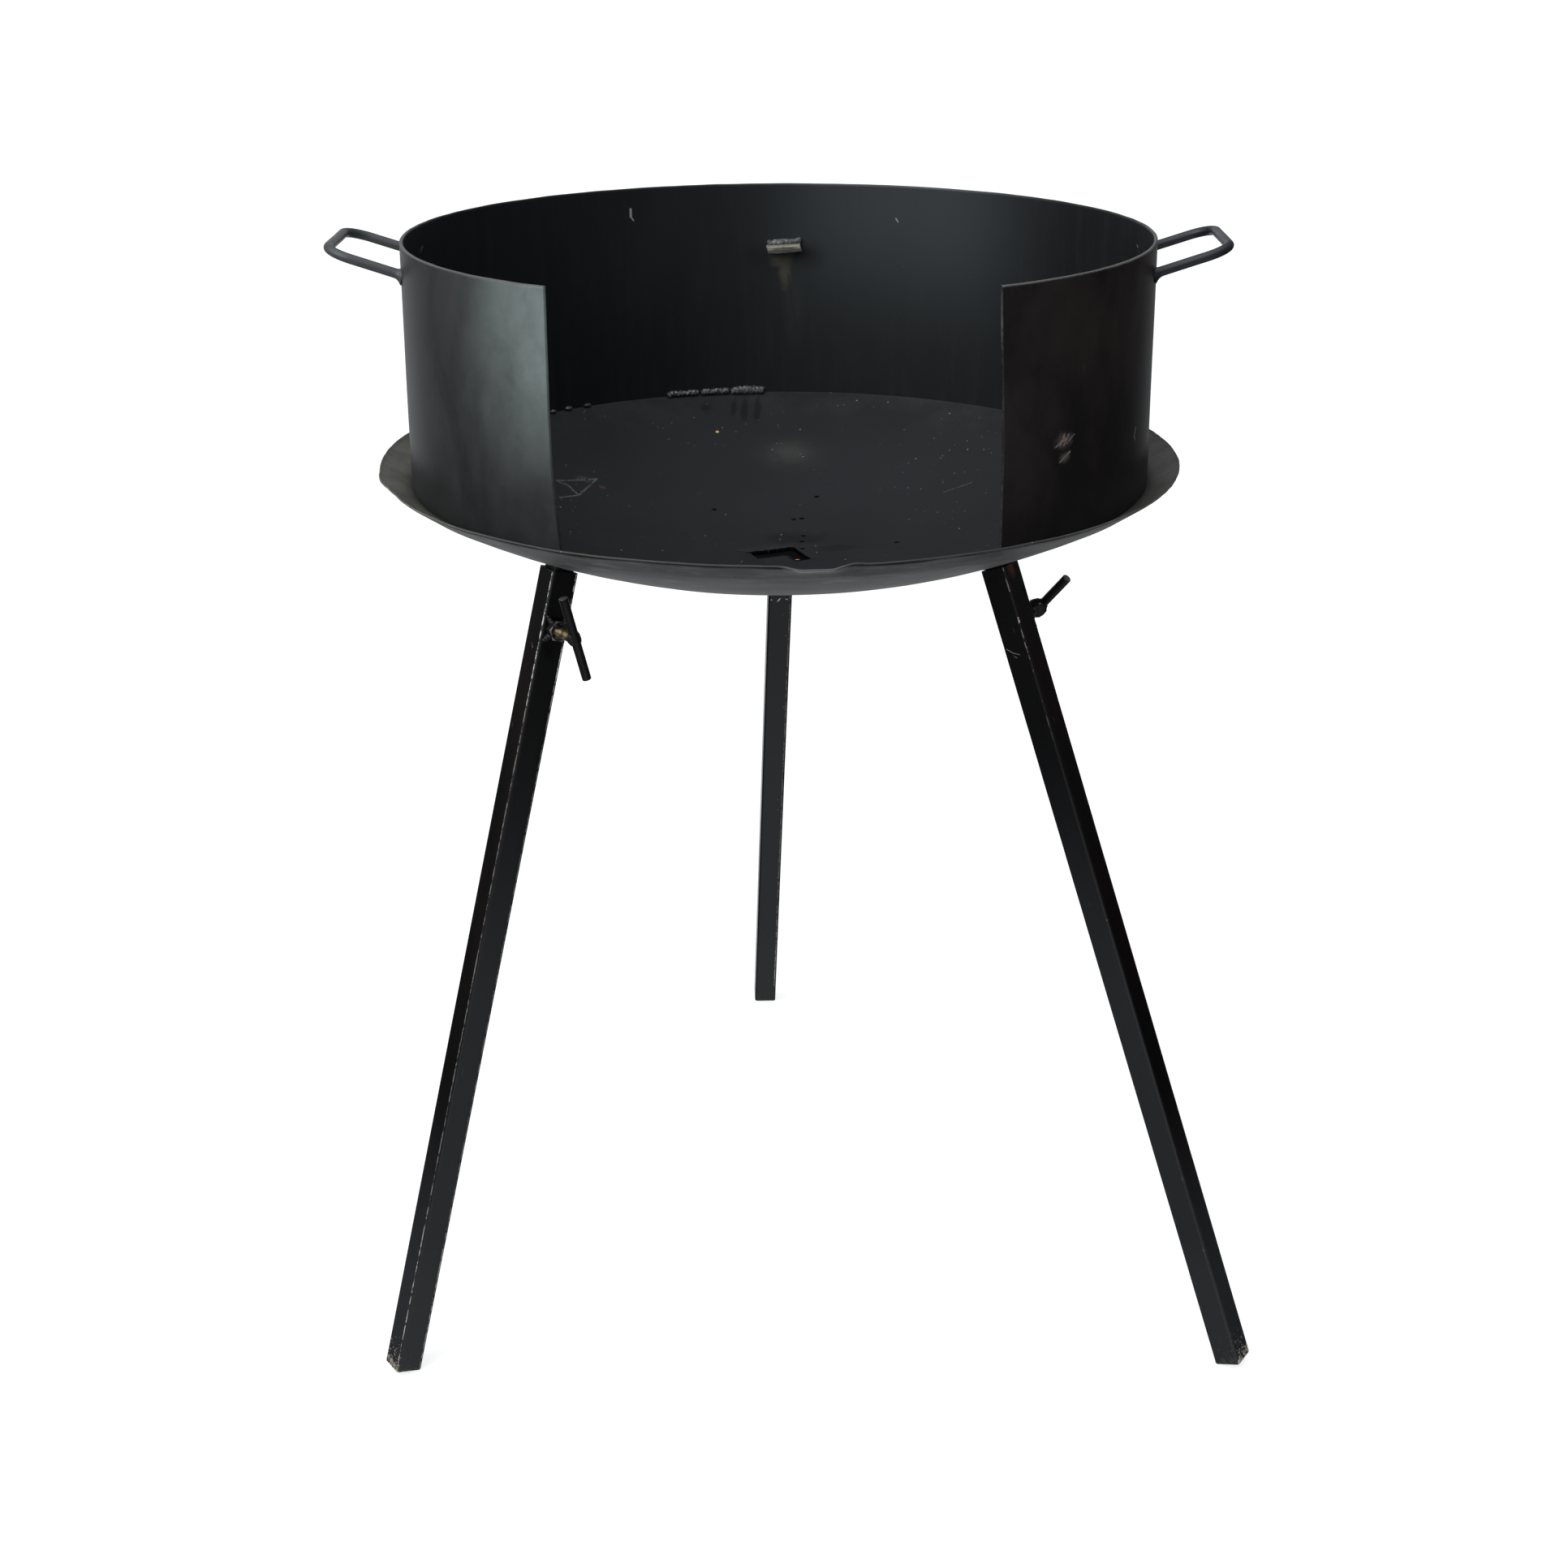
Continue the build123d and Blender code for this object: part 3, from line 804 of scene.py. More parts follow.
def nut_paint():
    """Black paint on the nuts, cross bars and stubs, rubbed at the corners."""
    f = Finish("nut_paint")
    cloud = f.noise(120, 4, 0.65)
    f.colour = f.mix(cloud, (0.0028, 0.0028, 0.0031), (0.0085, 0.0082, 0.0080))
    rubbed = f.step(f.broken(f.wear, f.noise(330, 4, 0.7), 0.9), 0.60, 0.95)
    f.paint(rubbed, (0.21, 0.20, 0.175))
    height = f.heights((f.noise(800, 3), 0.5), (cloud, 0.5))
    metal = f.times(rubbed, 0.5)
    return f.surface(f.blend(cloud, 0.28, 0.40), height, 0.12, metal=metal, gloss=0.3)


# --- Pan ------------------------------------------------------------------------------

PAN_COLUMNS = 720
PAN_TOP_ROWS = 30
PAN_UNDER_ROWS = 16
HOLE_ROUND = 0.8
# Rows of the hub hole's edge as (outward, drop, wear), and of the rim as (inset, drop, wear).
# A wear below zero is painted shade: on the hub hole's edge and under the rim's lip.
HOLE_ROWS = ((0.0, 0.9, -1.0), (0.15, 0.3, -0.6), (HOLE_ROUND, 0.0, 0.1))
RIM_ROWS = ((0.9, 0.2, 0.4), (0.2, 0.45, 0.6), (0.0, 0.9, 0.2), (0.3, PAN_EDGE, -0.6))
BEVEL_SHARES = (0.05, 0.14, 0.35, 0.6, 0.85, 1.0)
HOLE_CHIP_AZIMUTH = 163
HOLE_CHIP_DEPTH = 3.6
# A bent-down stretch of the rim: it starts between the first two azimuths and ends between the
# last two.
DIP = (272.2, 275.6, 278.8, 281.4)
DIP_DEPTH = 3.0
DIP_WIDTH = 16.0
DIP_WEAR = 2.2
RIM_CORNER_AZIMUTH = 198.0
RIM_WEAR_WIDTH = 26
DENT_DEPTH = 0.5
PLATE_WELD_HALF = 18
PLATE_WELD_STEPS = 24


def bump_at(offset, width):
    """1 at offset 0, falling away smoothly over about a width."""
    return math.exp(-((offset / width) ** 2))


def hole_radius(azimuth):
    """Radius of the hub hole's edge: a rounded square with a chipped corner."""
    half = HUB_HOLE / 2
    corner = half - HUB_HOLE_CORNER
    turn = math.radians((azimuth - HUB_HOLE_TURN + 45) % 90 - 45)
    radius = half / math.cos(turn)
    if radius * abs(math.sin(turn)) > corner:
        middle = Vector((corner, corner, 0))
        reach = ring(abs(turn)).dot(middle)
        radius = reach + math.sqrt(HUB_HOLE_CORNER**2 - middle.length_squared + reach**2)
    chip = HOLE_CHIP_DEPTH * bump_at(turn_between(azimuth, HOLE_CHIP_AZIMUTH), 4.0)
    edge = polar(half, azimuth)
    return radius + chip + 0.45 * ripple(edge, 3.5, 5) + 0.25 * ripple(edge, 1.4, 6)


def rim_wander(azimuth):
    """How far the rim stands out or in from a true circle."""
    edge = polar(355, azimuth)
    wave = 0.55 * ripple(polar(80, azimuth), 60, 1) + 0.35 * ripple(edge, 14, 2)
    turn = turn_between(azimuth, RIM_CORNER_AZIMUTH)
    corner = 2.0 * bump_at(turn, 3.5) - 1.4 * bump_at(turn - 8, 5)
    return wave + 0.22 * ripple(edge, 3.5, 3) + corner


def dip_at(azimuth):
    """1 in the bent-down stretch of the rim and 0 away from it."""
    return smooth(DIP[0], DIP[1], azimuth) * (1 - smooth(DIP[2], DIP[3], azimuth))


def pan_shift(radius, azimuth):
    """Outward and upward shift of the pan's sheet, for its dents and the dip in its rim."""
    outer = smooth(PAN_RADIUS - RIM_WEAR_WIDTH, PAN_RADIUS, radius)
    edge = smooth(PAN_RADIUS - DIP_WIDTH, PAN_RADIUS, radius)
    place = polar(radius, azimuth)
    dent = smooth(20, 90, radius) * (1 - 0.7 * smooth(290, 318, radius))
    rise = DENT_DEPTH * ripple(place, 95, 4) * dent + 0.5 * outer * ripple(place, 45, 8)
    curl = 0.9 * bump_at(azimuth - DIP[3] - 0.7, 0.9)
    rise += edge * (curl - DIP_DEPTH * dip_at(azimuth))
    return outer * rim_wander(azimuth) + edge * 1.2 * dip_at(azimuth), rise


def pan_section(azimuth):
    """(radius, height, wear) round the pan's sheet at an azimuth: top outward, underside back.

    The second result is the number of strips of faces before the underside.
    """
    hole = hole_radius(azimuth)
    edge = dish_height(hole)
    rows = [(hole + out, edge - drop, worn) for out, drop, worn in HOLE_ROWS]
    for i in range(1, PAN_TOP_ROWS + 1):
        radius = hole + HOLE_ROUND + (i / PAN_TOP_ROWS) ** 0.9 * (PAN_RADIUS - 5 - hole)
        rows.append((radius, dish_height(radius), 0.0))
    lip = dish_height(PAN_RADIUS)
    rows.append((PAN_RADIUS - 2.2, dish_height(PAN_RADIUS - 2.2), 0.1))
    rows += [(PAN_RADIUS - inset, lip - drop, worn) for inset, drop, worn in RIM_ROWS]
    top_rows = len(rows) - 1
    bevel = PAN_RADIUS - PAN_BEVEL_WIDTH
    fall = dish_height(bevel, OUTER_SPHERE) - lip + PAN_EDGE
    # Just under the lip the wear falls below zero, for a line of painted shade.
    for share in BEVEL_SHARES:
        worn = -0.75 * smooth(0.22, 0.07, share)
        rows.append((PAN_RADIUS - share * PAN_BEVEL_WIDTH, lip - PAN_EDGE + share * fall, worn))
    for i in range(1, PAN_UNDER_ROWS + 1):
        radius = bevel + (hole + HOLE_ROUND - bevel) * i / PAN_UNDER_ROWS
        rows.append((radius, dish_height(radius, OUTER_SPHERE), 0.0))
    # The hub hole's wall gets wear -1, painted shade.
    rows.append((hole, dish_height(hole, OUTER_SPHERE) + HOLE_ROUND, -1.0))
    return rows, top_rows


def build_pan(inside, outside):
    """The disc, with its dents, its wavy worn rim and the square hole for the hub."""
    points, wear = [], []
    for column in range(PAN_COLUMNS):
        azimuth = 360 * column / PAN_COLUMNS
        section, top_rows = pan_section(azimuth)
        for radius, height, worn in section:
            out, up = pan_shift(radius, azimuth)
            points.append(polar(radius + out, azimuth, height + up))
            worn += DIP_WEAR * dip_at(azimuth) * smooth(PAN_RADIUS - 5, PAN_RADIUS - 1.5, radius)
            wear.append(worn * (0.75 + 0.5 * ripple(polar(355, azimuth), 40, 9)))
    rows = len(section)
    faces = grid_faces(PAN_COLUMNS, rows, closed=True)
    made = piece(
        "pan_disc", (points, faces), "vessel", [inside, outside], "pan",
        wear=wear, sharp=50,
    )
    for number, polygon in enumerate(made.data.polygons):
        polygon.material_index = int(number % rows >= top_rows)


def build_plate_weld(weld):
    """Short welds that hold the plate under the hub hole, one along each side."""
    beads = []
    for number in range(4):
        turn = HUB_HOLE_TURN + 90 * number
        path = []
        for i in range(PLATE_WELD_STEPS + 1):
            along = PLATE_WELD_HALF * (2 * i / PLATE_WELD_STEPS - 1)
            place = polar(HUB_PLATE / 2 + 1, turn) + polar(1, turn + 90) * along
            place.z = dish_height(place.length, OUTER_SPHERE) - 1.0
            path.append(place)
        beads.append(weld_bead(path, -UP, 2.4, 4.0, 61 + number))
    piece("plate_weld", merge(beads), "vessel", weld)


# --- Wind shell -----------------------------------------------------------------------

# Azimuth of the cut edges on each side of the opening, by height.
LEFT_EDGE = ((783, 241.0), (794, 240.85), (822, 240.25), (854, 239.8), (905, 239.6), (995, 239.64))
RIGHT_EDGE = ((783, 304.6), (866, 304.7), (904, 304.5), (954, 304.05), (995, 303.75))
SHELL_COLUMNS = 400
SHELL_ROWS = 24
CUT_ROUND = 0.5
CUT_ROUND_SHARE = 0.00022
EDGE_BAND = 2.2
FOOT_SINK = 0.8
# Runs of the stitch weld between wall and pan as (from, to, size), azimuths of the drops beside
# them, and the (radius, height) of each.
FOOT_WELDS = ((95.4, 101.6, 4.1), (101.9, 107.2, 3.2), (107.5, 113.6, 2.8))
FOOT_WELD_PLACE = (323.4, 786.4)
FOOT_WELD_STEPS = 46
FOOT_DROPS = (129.5, 133.5, 137.0)
FOOT_DROP_PLACE = (324, 785.4)
FOOT_DROP_SIZES = (2.2, 4.5, 1.8)


def wall_rows(foot, inset):
    """(radius, height, wear) up one side of the wall, to the start of its rounded top."""
    high = SHELL_TOP_HEIGHT - EDGE_BAND
    heights = [foot + (high - foot) * i / (SHELL_ROWS - 2) for i in range(SHELL_ROWS - 1)]
    rows = [(shell_radius(z) - inset, z, 0.0) for z in heights]
    top = SHELL_TOP_HEIGHT - CUT_ROUND
    return rows + [(shell_radius(top) - inset, top, 0.9)]


def build_shell(inside, outside):
    """The rolled sheet, a little uneven, with worn rounded edges."""
    inner_foot = dish_height(SHELL_FOOT_RADIUS - SHEET) - FOOT_SINK
    outer_foot = dish_height(SHELL_FOOT_RADIUS) - FOOT_SINK
    points, wear = [], []
    shares = [0.0, CUT_ROUND_SHARE] + [i / SHELL_COLUMNS for i in range(1, SHELL_COLUMNS)]
    shares += [1 - CUT_ROUND_SHARE, 1.0]
    columns = len(shares)
    for number, share in enumerate(shares):
        end = number in (0, columns - 1)
        near_end = number in (1, columns - 2)
        inset = CUT_ROUND if end else 0.0
        top = SHELL_TOP_HEIGHT
        outer = wall_rows(outer_foot, inset)
        outer.append((shell_radius(top) - CUT_ROUND - inset / 2, top, 1.0))
        inner = wall_rows(inner_foot, SHEET - inset)
        inner.append((shell_radius(top) - SHEET + CUT_ROUND + inset / 2, top, 1.0))
        for radius, height, worn in outer + inner[::-1]:
            left = along_table(LEFT_EDGE, height) + 360
            right = along_table(RIGHT_EDGE, height)
            azimuth = right + share * (left - right)
            wave = 0.55 * ripple(polar(300, azimuth, height), 130, 12) * smooth(785, 850, height)
            lift = 0.25 * ripple(polar(325, azimuth), 22, 13) * smooth(900, 995, height)
            points.append(polar(radius + wave, azimuth, height + lift))
            value = 0.62 if end else max(worn, 0.35 if near_end else 0.0)
            front = 0.45 + 0.55 * smooth(200, -150, polar(SHELL_TOP_RADIUS, azimuth).y)
            wear.append(value * front * (0.9 + 0.4 * ripple(polar(325, azimuth, height), 45, 14)))
    rows = 2 * (SHELL_ROWS + 1)
    faces = grid_faces(columns, rows)
    for first in (0, (columns - 1) * rows):
        last = first + rows - 1
        faces += [(first + i, first + i + 1, last - i - 1, last - i) for i in range(SHELL_ROWS)]
    made = piece(
        "wind_wall", (points, faces), "vessel", [outside, inside], "wind_shell",
        wear=wear, sharp=50,
    )
    for polygon in made.data.polygons:
        facing = polygon.normal.xy.dot(polygon.center.xy)
        polygon.material_index = int(facing < -0.1)


def build_foot_weld(material):
    """The stitch weld between wall and pan, in three runs, and drops of weld beside it."""
    parts = []
    radius, height = FOOT_WELD_PLACE
    for number, (start, end, size) in enumerate(FOOT_WELDS):
        path = []
        for i in range(FOOT_WELD_STEPS + 1):
            azimuth = start + (end - start) * i / FOOT_WELD_STEPS
            path.append(polar(radius, azimuth, height + 0.6 * math.sin(i)))
        parts.append(weld_bead(path, UP, size, 3.4, number + 1))
    radius, height = FOOT_DROP_PLACE
    for number, azimuth in enumerate(FOOT_DROPS):
        axes = (polar(1, azimuth), polar(1, azimuth + 90), UP)
        parts.append(blob(polar(radius, azimuth, height), axes, FOOT_DROP_SIZES, number))
    piece("foot_weld", merge(parts), "vessel", material)


# --- Grate lugs -----------------------------------------------------------------------

LUG_ROLL = 3.5
LUG_SHEAR = 2.2
LUG_STEPS_ACROSS = 18
LUG_STEPS_DOWN = 6
LUG_STEPS_DEEP = 8
LUG_SINK = 1.2
LUG_CHAMFER = 0.97
LUG_WELD_STEPS = 40
# Lumps of the lug's weld: place across it and size.
LUG_LUMPS = ((-14.5, 3.6), (-1, 3.0), (9, 3.2), (14.8, 3.0))


def build_lug(side, steel, weld):
    """A sawn piece of flat bar, a little out of square, with a weld bead along its back."""
    azimuth = LUG_AZIMUTHS[side]
    out, across = polar(1, azimuth), polar(1, azimuth + 90)
    lean = math.sin(math.radians(LUG_ROLL))
    wall = shell_radius(LUG_TOP_HEIGHT) - SHEET
    tip, root = wall - LUG_REACH, wall + LUG_SINK
    half, depth = LUG_WIDTH / 2, LUG_THICKNESS
    points, wear = [], []
    # A closed box as rings from the wall to the tip and in again, each ring round the section.
    section = [(LUG_WIDTH * i / LUG_STEPS_ACROSS - half, 0.0) for i in range(LUG_STEPS_ACROSS + 1)]
    section += [(half, -depth * i / LUG_STEPS_DOWN) for i in range(1, LUG_STEPS_DOWN + 1)]
    section += [(x, -depth) for x, _ in section[LUG_STEPS_ACROSS - 1 :: -1]]
    section += [(-half, -depth + depth * i / LUG_STEPS_DOWN) for i in range(1, LUG_STEPS_DOWN)]
    run = root - tip - 0.5
    rings = [(root - run * i / LUG_STEPS_DEEP, 1.0) for i in range(LUG_STEPS_DEEP + 1)]
    rings += [(tip, LUG_CHAMFER), (tip - 0.15, 0.5), (tip - 0.1, 0.0)]
    for radius, scale in rings:
        for x, z in section:
            x0, z0 = x * scale, (z + depth / 2) * scale - depth / 2
            if scale == LUG_CHAMFER:
                x0, z0 = x - math.copysign(0.5, x), z + (0.4 if z < -depth / 2 else -0.4)
            saw = 0.35 * ripple((x0, radius, z0), 5, 21 + len(side))
            x1 = x0 + LUG_SHEAR * (z0 / depth + 0.5) + saw
            z1 = z0 - x0 * lean + 0.3 * ripple((x0, z0, radius), 6, 23)
            reach = radius + (saw if scale < 1 else 0)
            points.append(out * reach + across * x1 + UP * (LUG_TOP_HEIGHT + z1))
            dusty = 0.5 if z == 0 and scale == 1 else 0.0
            wear.append(1.0 if scale == LUG_CHAMFER and z > -depth / 2 else dusty)
    faces = grid_faces(len(rings), len(section))
    faces.append(tuple(range(len(section))))
    piece(
        f"lug_{side}", (points, faces), "vessel", steel, f"grate_lug_{side}",
        wear=wear, sharp=40,
    )
    back = wall - 2.4
    path = []
    for i in range(LUG_WELD_STEPS + 1):
        share = i / LUG_WELD_STEPS
        height = LUG_TOP_HEIGHT + 1.9 - lean * (-half + LUG_WIDTH * share)
        path.append(out * back + across * (-half + 0.5 + (LUG_WIDTH - 1) * share) + UP * height)
    parts = [weld_bead(path, UP, 3.2, 5.0, 31 + len(side), taper=1.5)]
    for number, (place, size) in enumerate(LUG_LUMPS):
        height = LUG_TOP_HEIGHT + 2.7 - place * lean
        centre = out * (back + 0.3) + across * place + UP * height
        sizes = (size * 0.8, size, size * 0.85)
        parts.append(blob(centre, (out, across, UP), sizes, 40 + number))
    piece(f"lug_weld_{side}", merge(parts), "vessel", weld)


# --- Handles --------------------------------------------------------------------------

ROD_AROUND = 24
ROD_STEPS = 34
ROD_START = -1.6
BEND_STEPS = 16
CROSS_STEPS = 14
PAINT_THICKNESS = 0.2
FILLET = 4.0
FILLET_LENGTH = 4.4


def handle_outline():
    """(reach, side) along the handle's U, from one end to the other."""
    bend = HANDLE_BEND
    run = HANDLE_REACH - bend - ROD_START
    side = HANDLE_HALF_WIDTH - bend
    half = [(ROD_START + run * i / ROD_STEPS, HANDLE_HALF_WIDTH) for i in range(ROD_STEPS)]
    for i in range(BEND_STEPS + 1):
        way = ring(math.radians(90 - 90 * i / BEND_STEPS), bend)
        half.append((HANDLE_REACH - bend + way.x, side + way.y))
    half += [(HANDLE_REACH, side * (1 - i / CROSS_STEPS)) for i in range(1, CROSS_STEPS)]
    return half + [(HANDLE_REACH, 0.0)] + [(x, -y) for x, y in half[::-1]]


def build_handle(side, paint):
    """Round rod bent to a U, with a weld fillet at each end where it meets the wall."""
    azimuth = HANDLE_AZIMUTHS[side]
    tilt = math.radians(HANDLE_TILT)
    outward = polar(math.cos(tilt), azimuth, math.sin(tilt))
    sideways = polar(1, azimuth + 90)
    top = outward.cross(sideways)
    root = math.sqrt(SHELL_TOP_RADIUS**2 - HANDLE_HALF_WIDTH**2)
    root = polar(root, azimuth, SHELL_TOP_HEIGHT - HANDLE_DROP)
    path, wear = [], []
    for x, y in handle_outline():
        sag = 0.5 * ripple((x, y, 0), 60, 51 + len(side))
        path.append(root + outward * x + sideways * y + top * sag)
        wear += [0.55 * smooth(HANDLE_REACH - 8, HANDLE_REACH, x)] * ROD_AROUND
    lengths = lengths_along(path)

    def radius_at(i, angle):
        from_end = min(lengths[i], lengths[-1] - lengths[i])
        way = ring(angle, 5)
        fillet = FILLET * bump_at(from_end - ROD_START, FILLET_LENGTH)
        fillet *= 1 + 0.3 * math.cos(angle - 4)
        lump = 0.5 * ripple(path[i] + Vector((0, way.x, way.y)), 4, 55) * smooth(9, 3, from_end)
        return ROD_RADIUS + PAINT_THICKNESS + fillet + lump

    piece(
        f"handle_rod_{side}", tube(path, top, radius_at, ROD_AROUND), "vessel", paint,
        f"handle_{side}", wear=wear,
    )


# --- Legs and clamps ------------------------------------------------------------------

LEG_STEPS = 72
# How worn a corner's arc is at each step from where it starts.
CORNER_WEAR = (1.0, 1.0, 0.55, 0.1)
CORNER_ARC = 6
STUB_BEAD = 2.4
STUB_BEAD_AROUND = 10
NUT_AROUND = 96
NUT_BORE = 5.06
NUT_CHAMFER = 32
# Directions of the nut's four welds, and the drops in each: reach, half width, half height.
NUT_WELDS = (42, 138, 222, 318)
NUT_DROPS = ((8.6, 2.9, 4.4), (10.9, 2.5, 3.0), (13.0, 2.0, 1.9))
THREAD_AROUND = 36
THREAD_ROWS_PER_PITCH = 8
THREAD_DEPTH = 0.75
THREAD_CLEARANCE = 0.04
THREAD_TAPER = 0.9
BAR_AROUND = 28
BAR_STEPS = 16
# Rounding of the bar's ends, as (distance from the end, radius).
BAR_ENDS = ((0.0, 3.3), (0.15, 3.7), (0.6, BAR_RADIUS))
BAR_INSET = 3
# The lump of weld under the bar, half sizes and how big it is on each side, and its fillets.
BAR_WELD_SIZES = (6.6, 6.4, 4.1)
BAR_WELD = {"rear": 1.0, "left": 1.0, "right": 1.35}
BAR_FILLET_SIZES = (6.2, 2.4, 3.6)


joints = {joint["name"]: joint for joint in frame["joints"]}


def placed(origin, x, y, z):
    """A place in the frame from an origin and three axes."""
    return Matrix.Translation(origin) @ Matrix((x, y, z)).transposed().to_4x4()


def leg_axes(side):
    """The leg's own axes, from its joints: X faces outward, Y its clamp and Z up the leg.

    Its origin is on the leg's axis, behind the clamp.
    """
    along = -Vector(joints[f"leg_slide_{side}"]["axis"]).normalized()
    across = Vector(joints[f"screw_turn_{side}"]["axis"]).normalized()
    outward = across.cross(along).normalized()
    return placed(Vector(joints[f"screw_turn_{side}"]["pos_m"]), outward, across, along)


def clamp_axes(side):
    """The clamp's own axes: Z points out along its screw, X up the leg."""
    axes = leg_axes(side)
    outward, across, along = axes.to_3x3().col
    return placed(axes.translation, along, outward, across)


def rounded_square(half, corner, flats=4):
    """Points round a square with rounded corners, as (x, y, how worn): worn where an arc starts."""
    points = []
    middle = half - corner
    for quarter in range(4):
        turn = math.radians(90 * quarter)
        cos, sin = math.cos(turn), math.sin(turn)
        local = []
        for i in range(CORNER_ARC + 1):
            way = ring(math.radians(90 * i / CORNER_ARC), corner)
            worn = CORNER_WEAR[i] if i < len(CORNER_WEAR) else 0.0
            local.append((middle + way.x, middle + way.y, worn))
        local += [((middle - 0.7) * (1 - 2 * i / (flats - 1)), half, 0.0) for i in range(flats)]
        points += [(x * cos - y * sin, x * sin + y * cos, worn) for x, y, worn in local]
    return points


def build_leg(side, paint):
    """Square tube with worn corners, sawn ends and a battered foot."""
    axes = leg_axes(side)
    back = axes.inverted()
    heights = [(back @ v.co).z / MM for v in frame["nodes"][f"leg_{side}"].data.vertices]
    low, high = min(heights), max(heights)
    outer = rounded_square(LEG_HALF, LEG_CORNER)
    inner = rounded_square(LEG_HALF - LEG_WALL, LEG_CORNER - LEG_WALL)
    run = high - low - 6
    # Height, inset, outline and wear, up the outside and down the inside.
    rows = [(low, 0.5, outer, 0.9), (low + 0.5, 0.0, outer, 0.8), (low + 4, 0.0, outer, 0.2)]
    rows += [(low + 4 + run * i / LEG_STEPS, 0.0, outer, 0.0) for i in range(1, LEG_STEPS)]
    rows += [(high - 2, 0.0, outer, 0.0), (high - 0.4, 0.0, outer, 0.3), (high, 0.4, outer, 0.5)]
    rows += [(high, -0.3, inner, 0.6), (high - 0.4, 0.0, inner, 0.2)]
    rows += [(low + 0.5, 0.0, inner, 0.2), (low, -0.3, inner, 0.6)]
    points, wear = [], []
    seed = 60 + len(side)
    for z, inset, outline, end_wear in rows:
        for x, y, corner in outline:
            ding = 0.28 * max(0.0, ripple((x, y, z), 7, seed))
            ding += 0.9 * smooth(low + 9, low, z) * max(0.0, ripple((x, y, z), 6, seed + 1))
            shrink = 1 - (inset + ding * corner) / math.hypot(x, y)
            saw = 0.35 * ripple((x, y, 0), 9, seed + 2) if end_wear > 0.5 else 0.0
            points.append((x * shrink, y * shrink, z + saw))
            wear.append(max(corner * 0.95, end_wear))
    faces = grid_faces(len(rows), len(outer), closed=True)
    piece(
        f"leg_tube_{side}", (points, faces), f"{side}_leg", paint, f"leg_{side}",
        axes, wear, sharp=40,
    )


def build_stub_weld(side, weld):
    """The bead round the stub where it meets the pan."""
    axes = leg_axes(side)
    along = axes.to_3x3() @ UP
    path = []
    for x, y, _ in rounded_square(STUB_HALF + 0.6, STUB_CORNER + 0.6, flats=7):
        start = axes @ (Vector((x, y, 0)) * MM) / MM
        offset = start - UP * SPHERE_HEIGHT
        b = offset.dot(along)
        reach = math.sqrt(b * b - offset.length_squared + OUTER_SPHERE**2)
        hits = [start + along * (reach - b), start + along * (-reach - b)]
        path.append(min(hits, key=lambda p: abs(p.z - 730)))
    down = -along.normalized()
    middle = sum(path, Vector()) / len(path)
    points = []
    count = len(path)
    for i, point in enumerate(path):
        ahead = (path[(i + 1) % count] - path[i - 1]).normalized()
        outward = ahead.cross(down).normalized()
        if outward.dot(point - middle) < 0:
            outward.negate()
        radius = STUB_BEAD * (0.9 + 0.15 * math.sin(i * 1.9) + 0.25 * ripple(point, 5, 71))
        for k in range(STUB_BEAD_AROUND):
            way = ring(math.tau * k / STUB_BEAD_AROUND, radius)
            points.append(point + outward * (way.x + 0.6) + down * (0.8 * way.y))
    faces = grid_faces(count, STUB_BEAD_AROUND, closed=True)
    piece(f"stub_weld_{side}", (points, faces), "vessel", weld)


def build_nut(side, paint, weld):
    """A chamfered nut held on the tube by four short welds."""
    axes = clamp_axes(side)
    low, high = LEG_HALF, LEG_HALF + NUT_THICKNESS
    flat = NUT_ACROSS_FLATS / 2
    points, wear = [], []
    for k in range(NUT_AROUND):
        turn = math.tau * k / NUT_AROUND
        within = (turn + math.pi / 6) % (math.pi / 3) - math.pi / 6
        radius = flat / math.cos(within)
        drop = max(0.0, (radius - flat * 0.99) * math.tan(math.radians(NUT_CHAMFER)))
        # Radius, height and wear: up the bore, over the face and down the flats.
        section = (
            (NUT_BORE, low, 0), (NUT_BORE, high - 0.9, 0), (NUT_BORE + 0.8, high - 0.1, 0.7),
            (flat * 0.93, high, 0.5), (flat * 0.99, high - 0.05, 0.9),
            (radius - 0.12, high - drop - 0.1, 1.0), (radius, high - drop - 0.4, 0.8 * drop),
            (radius, high - 4, 0.15), (radius, low - 0.2, 0.1),
        )
        for reach, z, worn in section:
            points.append(ring(turn, reach) + UP * z)
            wear.append(worn)
    faces = grid_faces(NUT_AROUND, len(section), closed=True)
    piece(
        f"nut_{side}", (points, faces), f"{side}_leg", paint, f"clamp_nut_{side}",
        axes, wear, sharp=32,
    )
    drops = []
    for number, angle in enumerate(NUT_WELDS):
        way = ring(math.radians(angle))
        for step, (place, size, height) in enumerate(NUT_DROPS):
            centre = way * place + UP * (low + 0.5)
            seed = 80 + 3 * number + step + len(side)
            drops.append(blob(centre, (way, UP.cross(way), UP), (2.6, size, height), seed))
    piece(f"nut_weld_{side}", merge(drops), f"{side}_leg", weld, axes=axes)


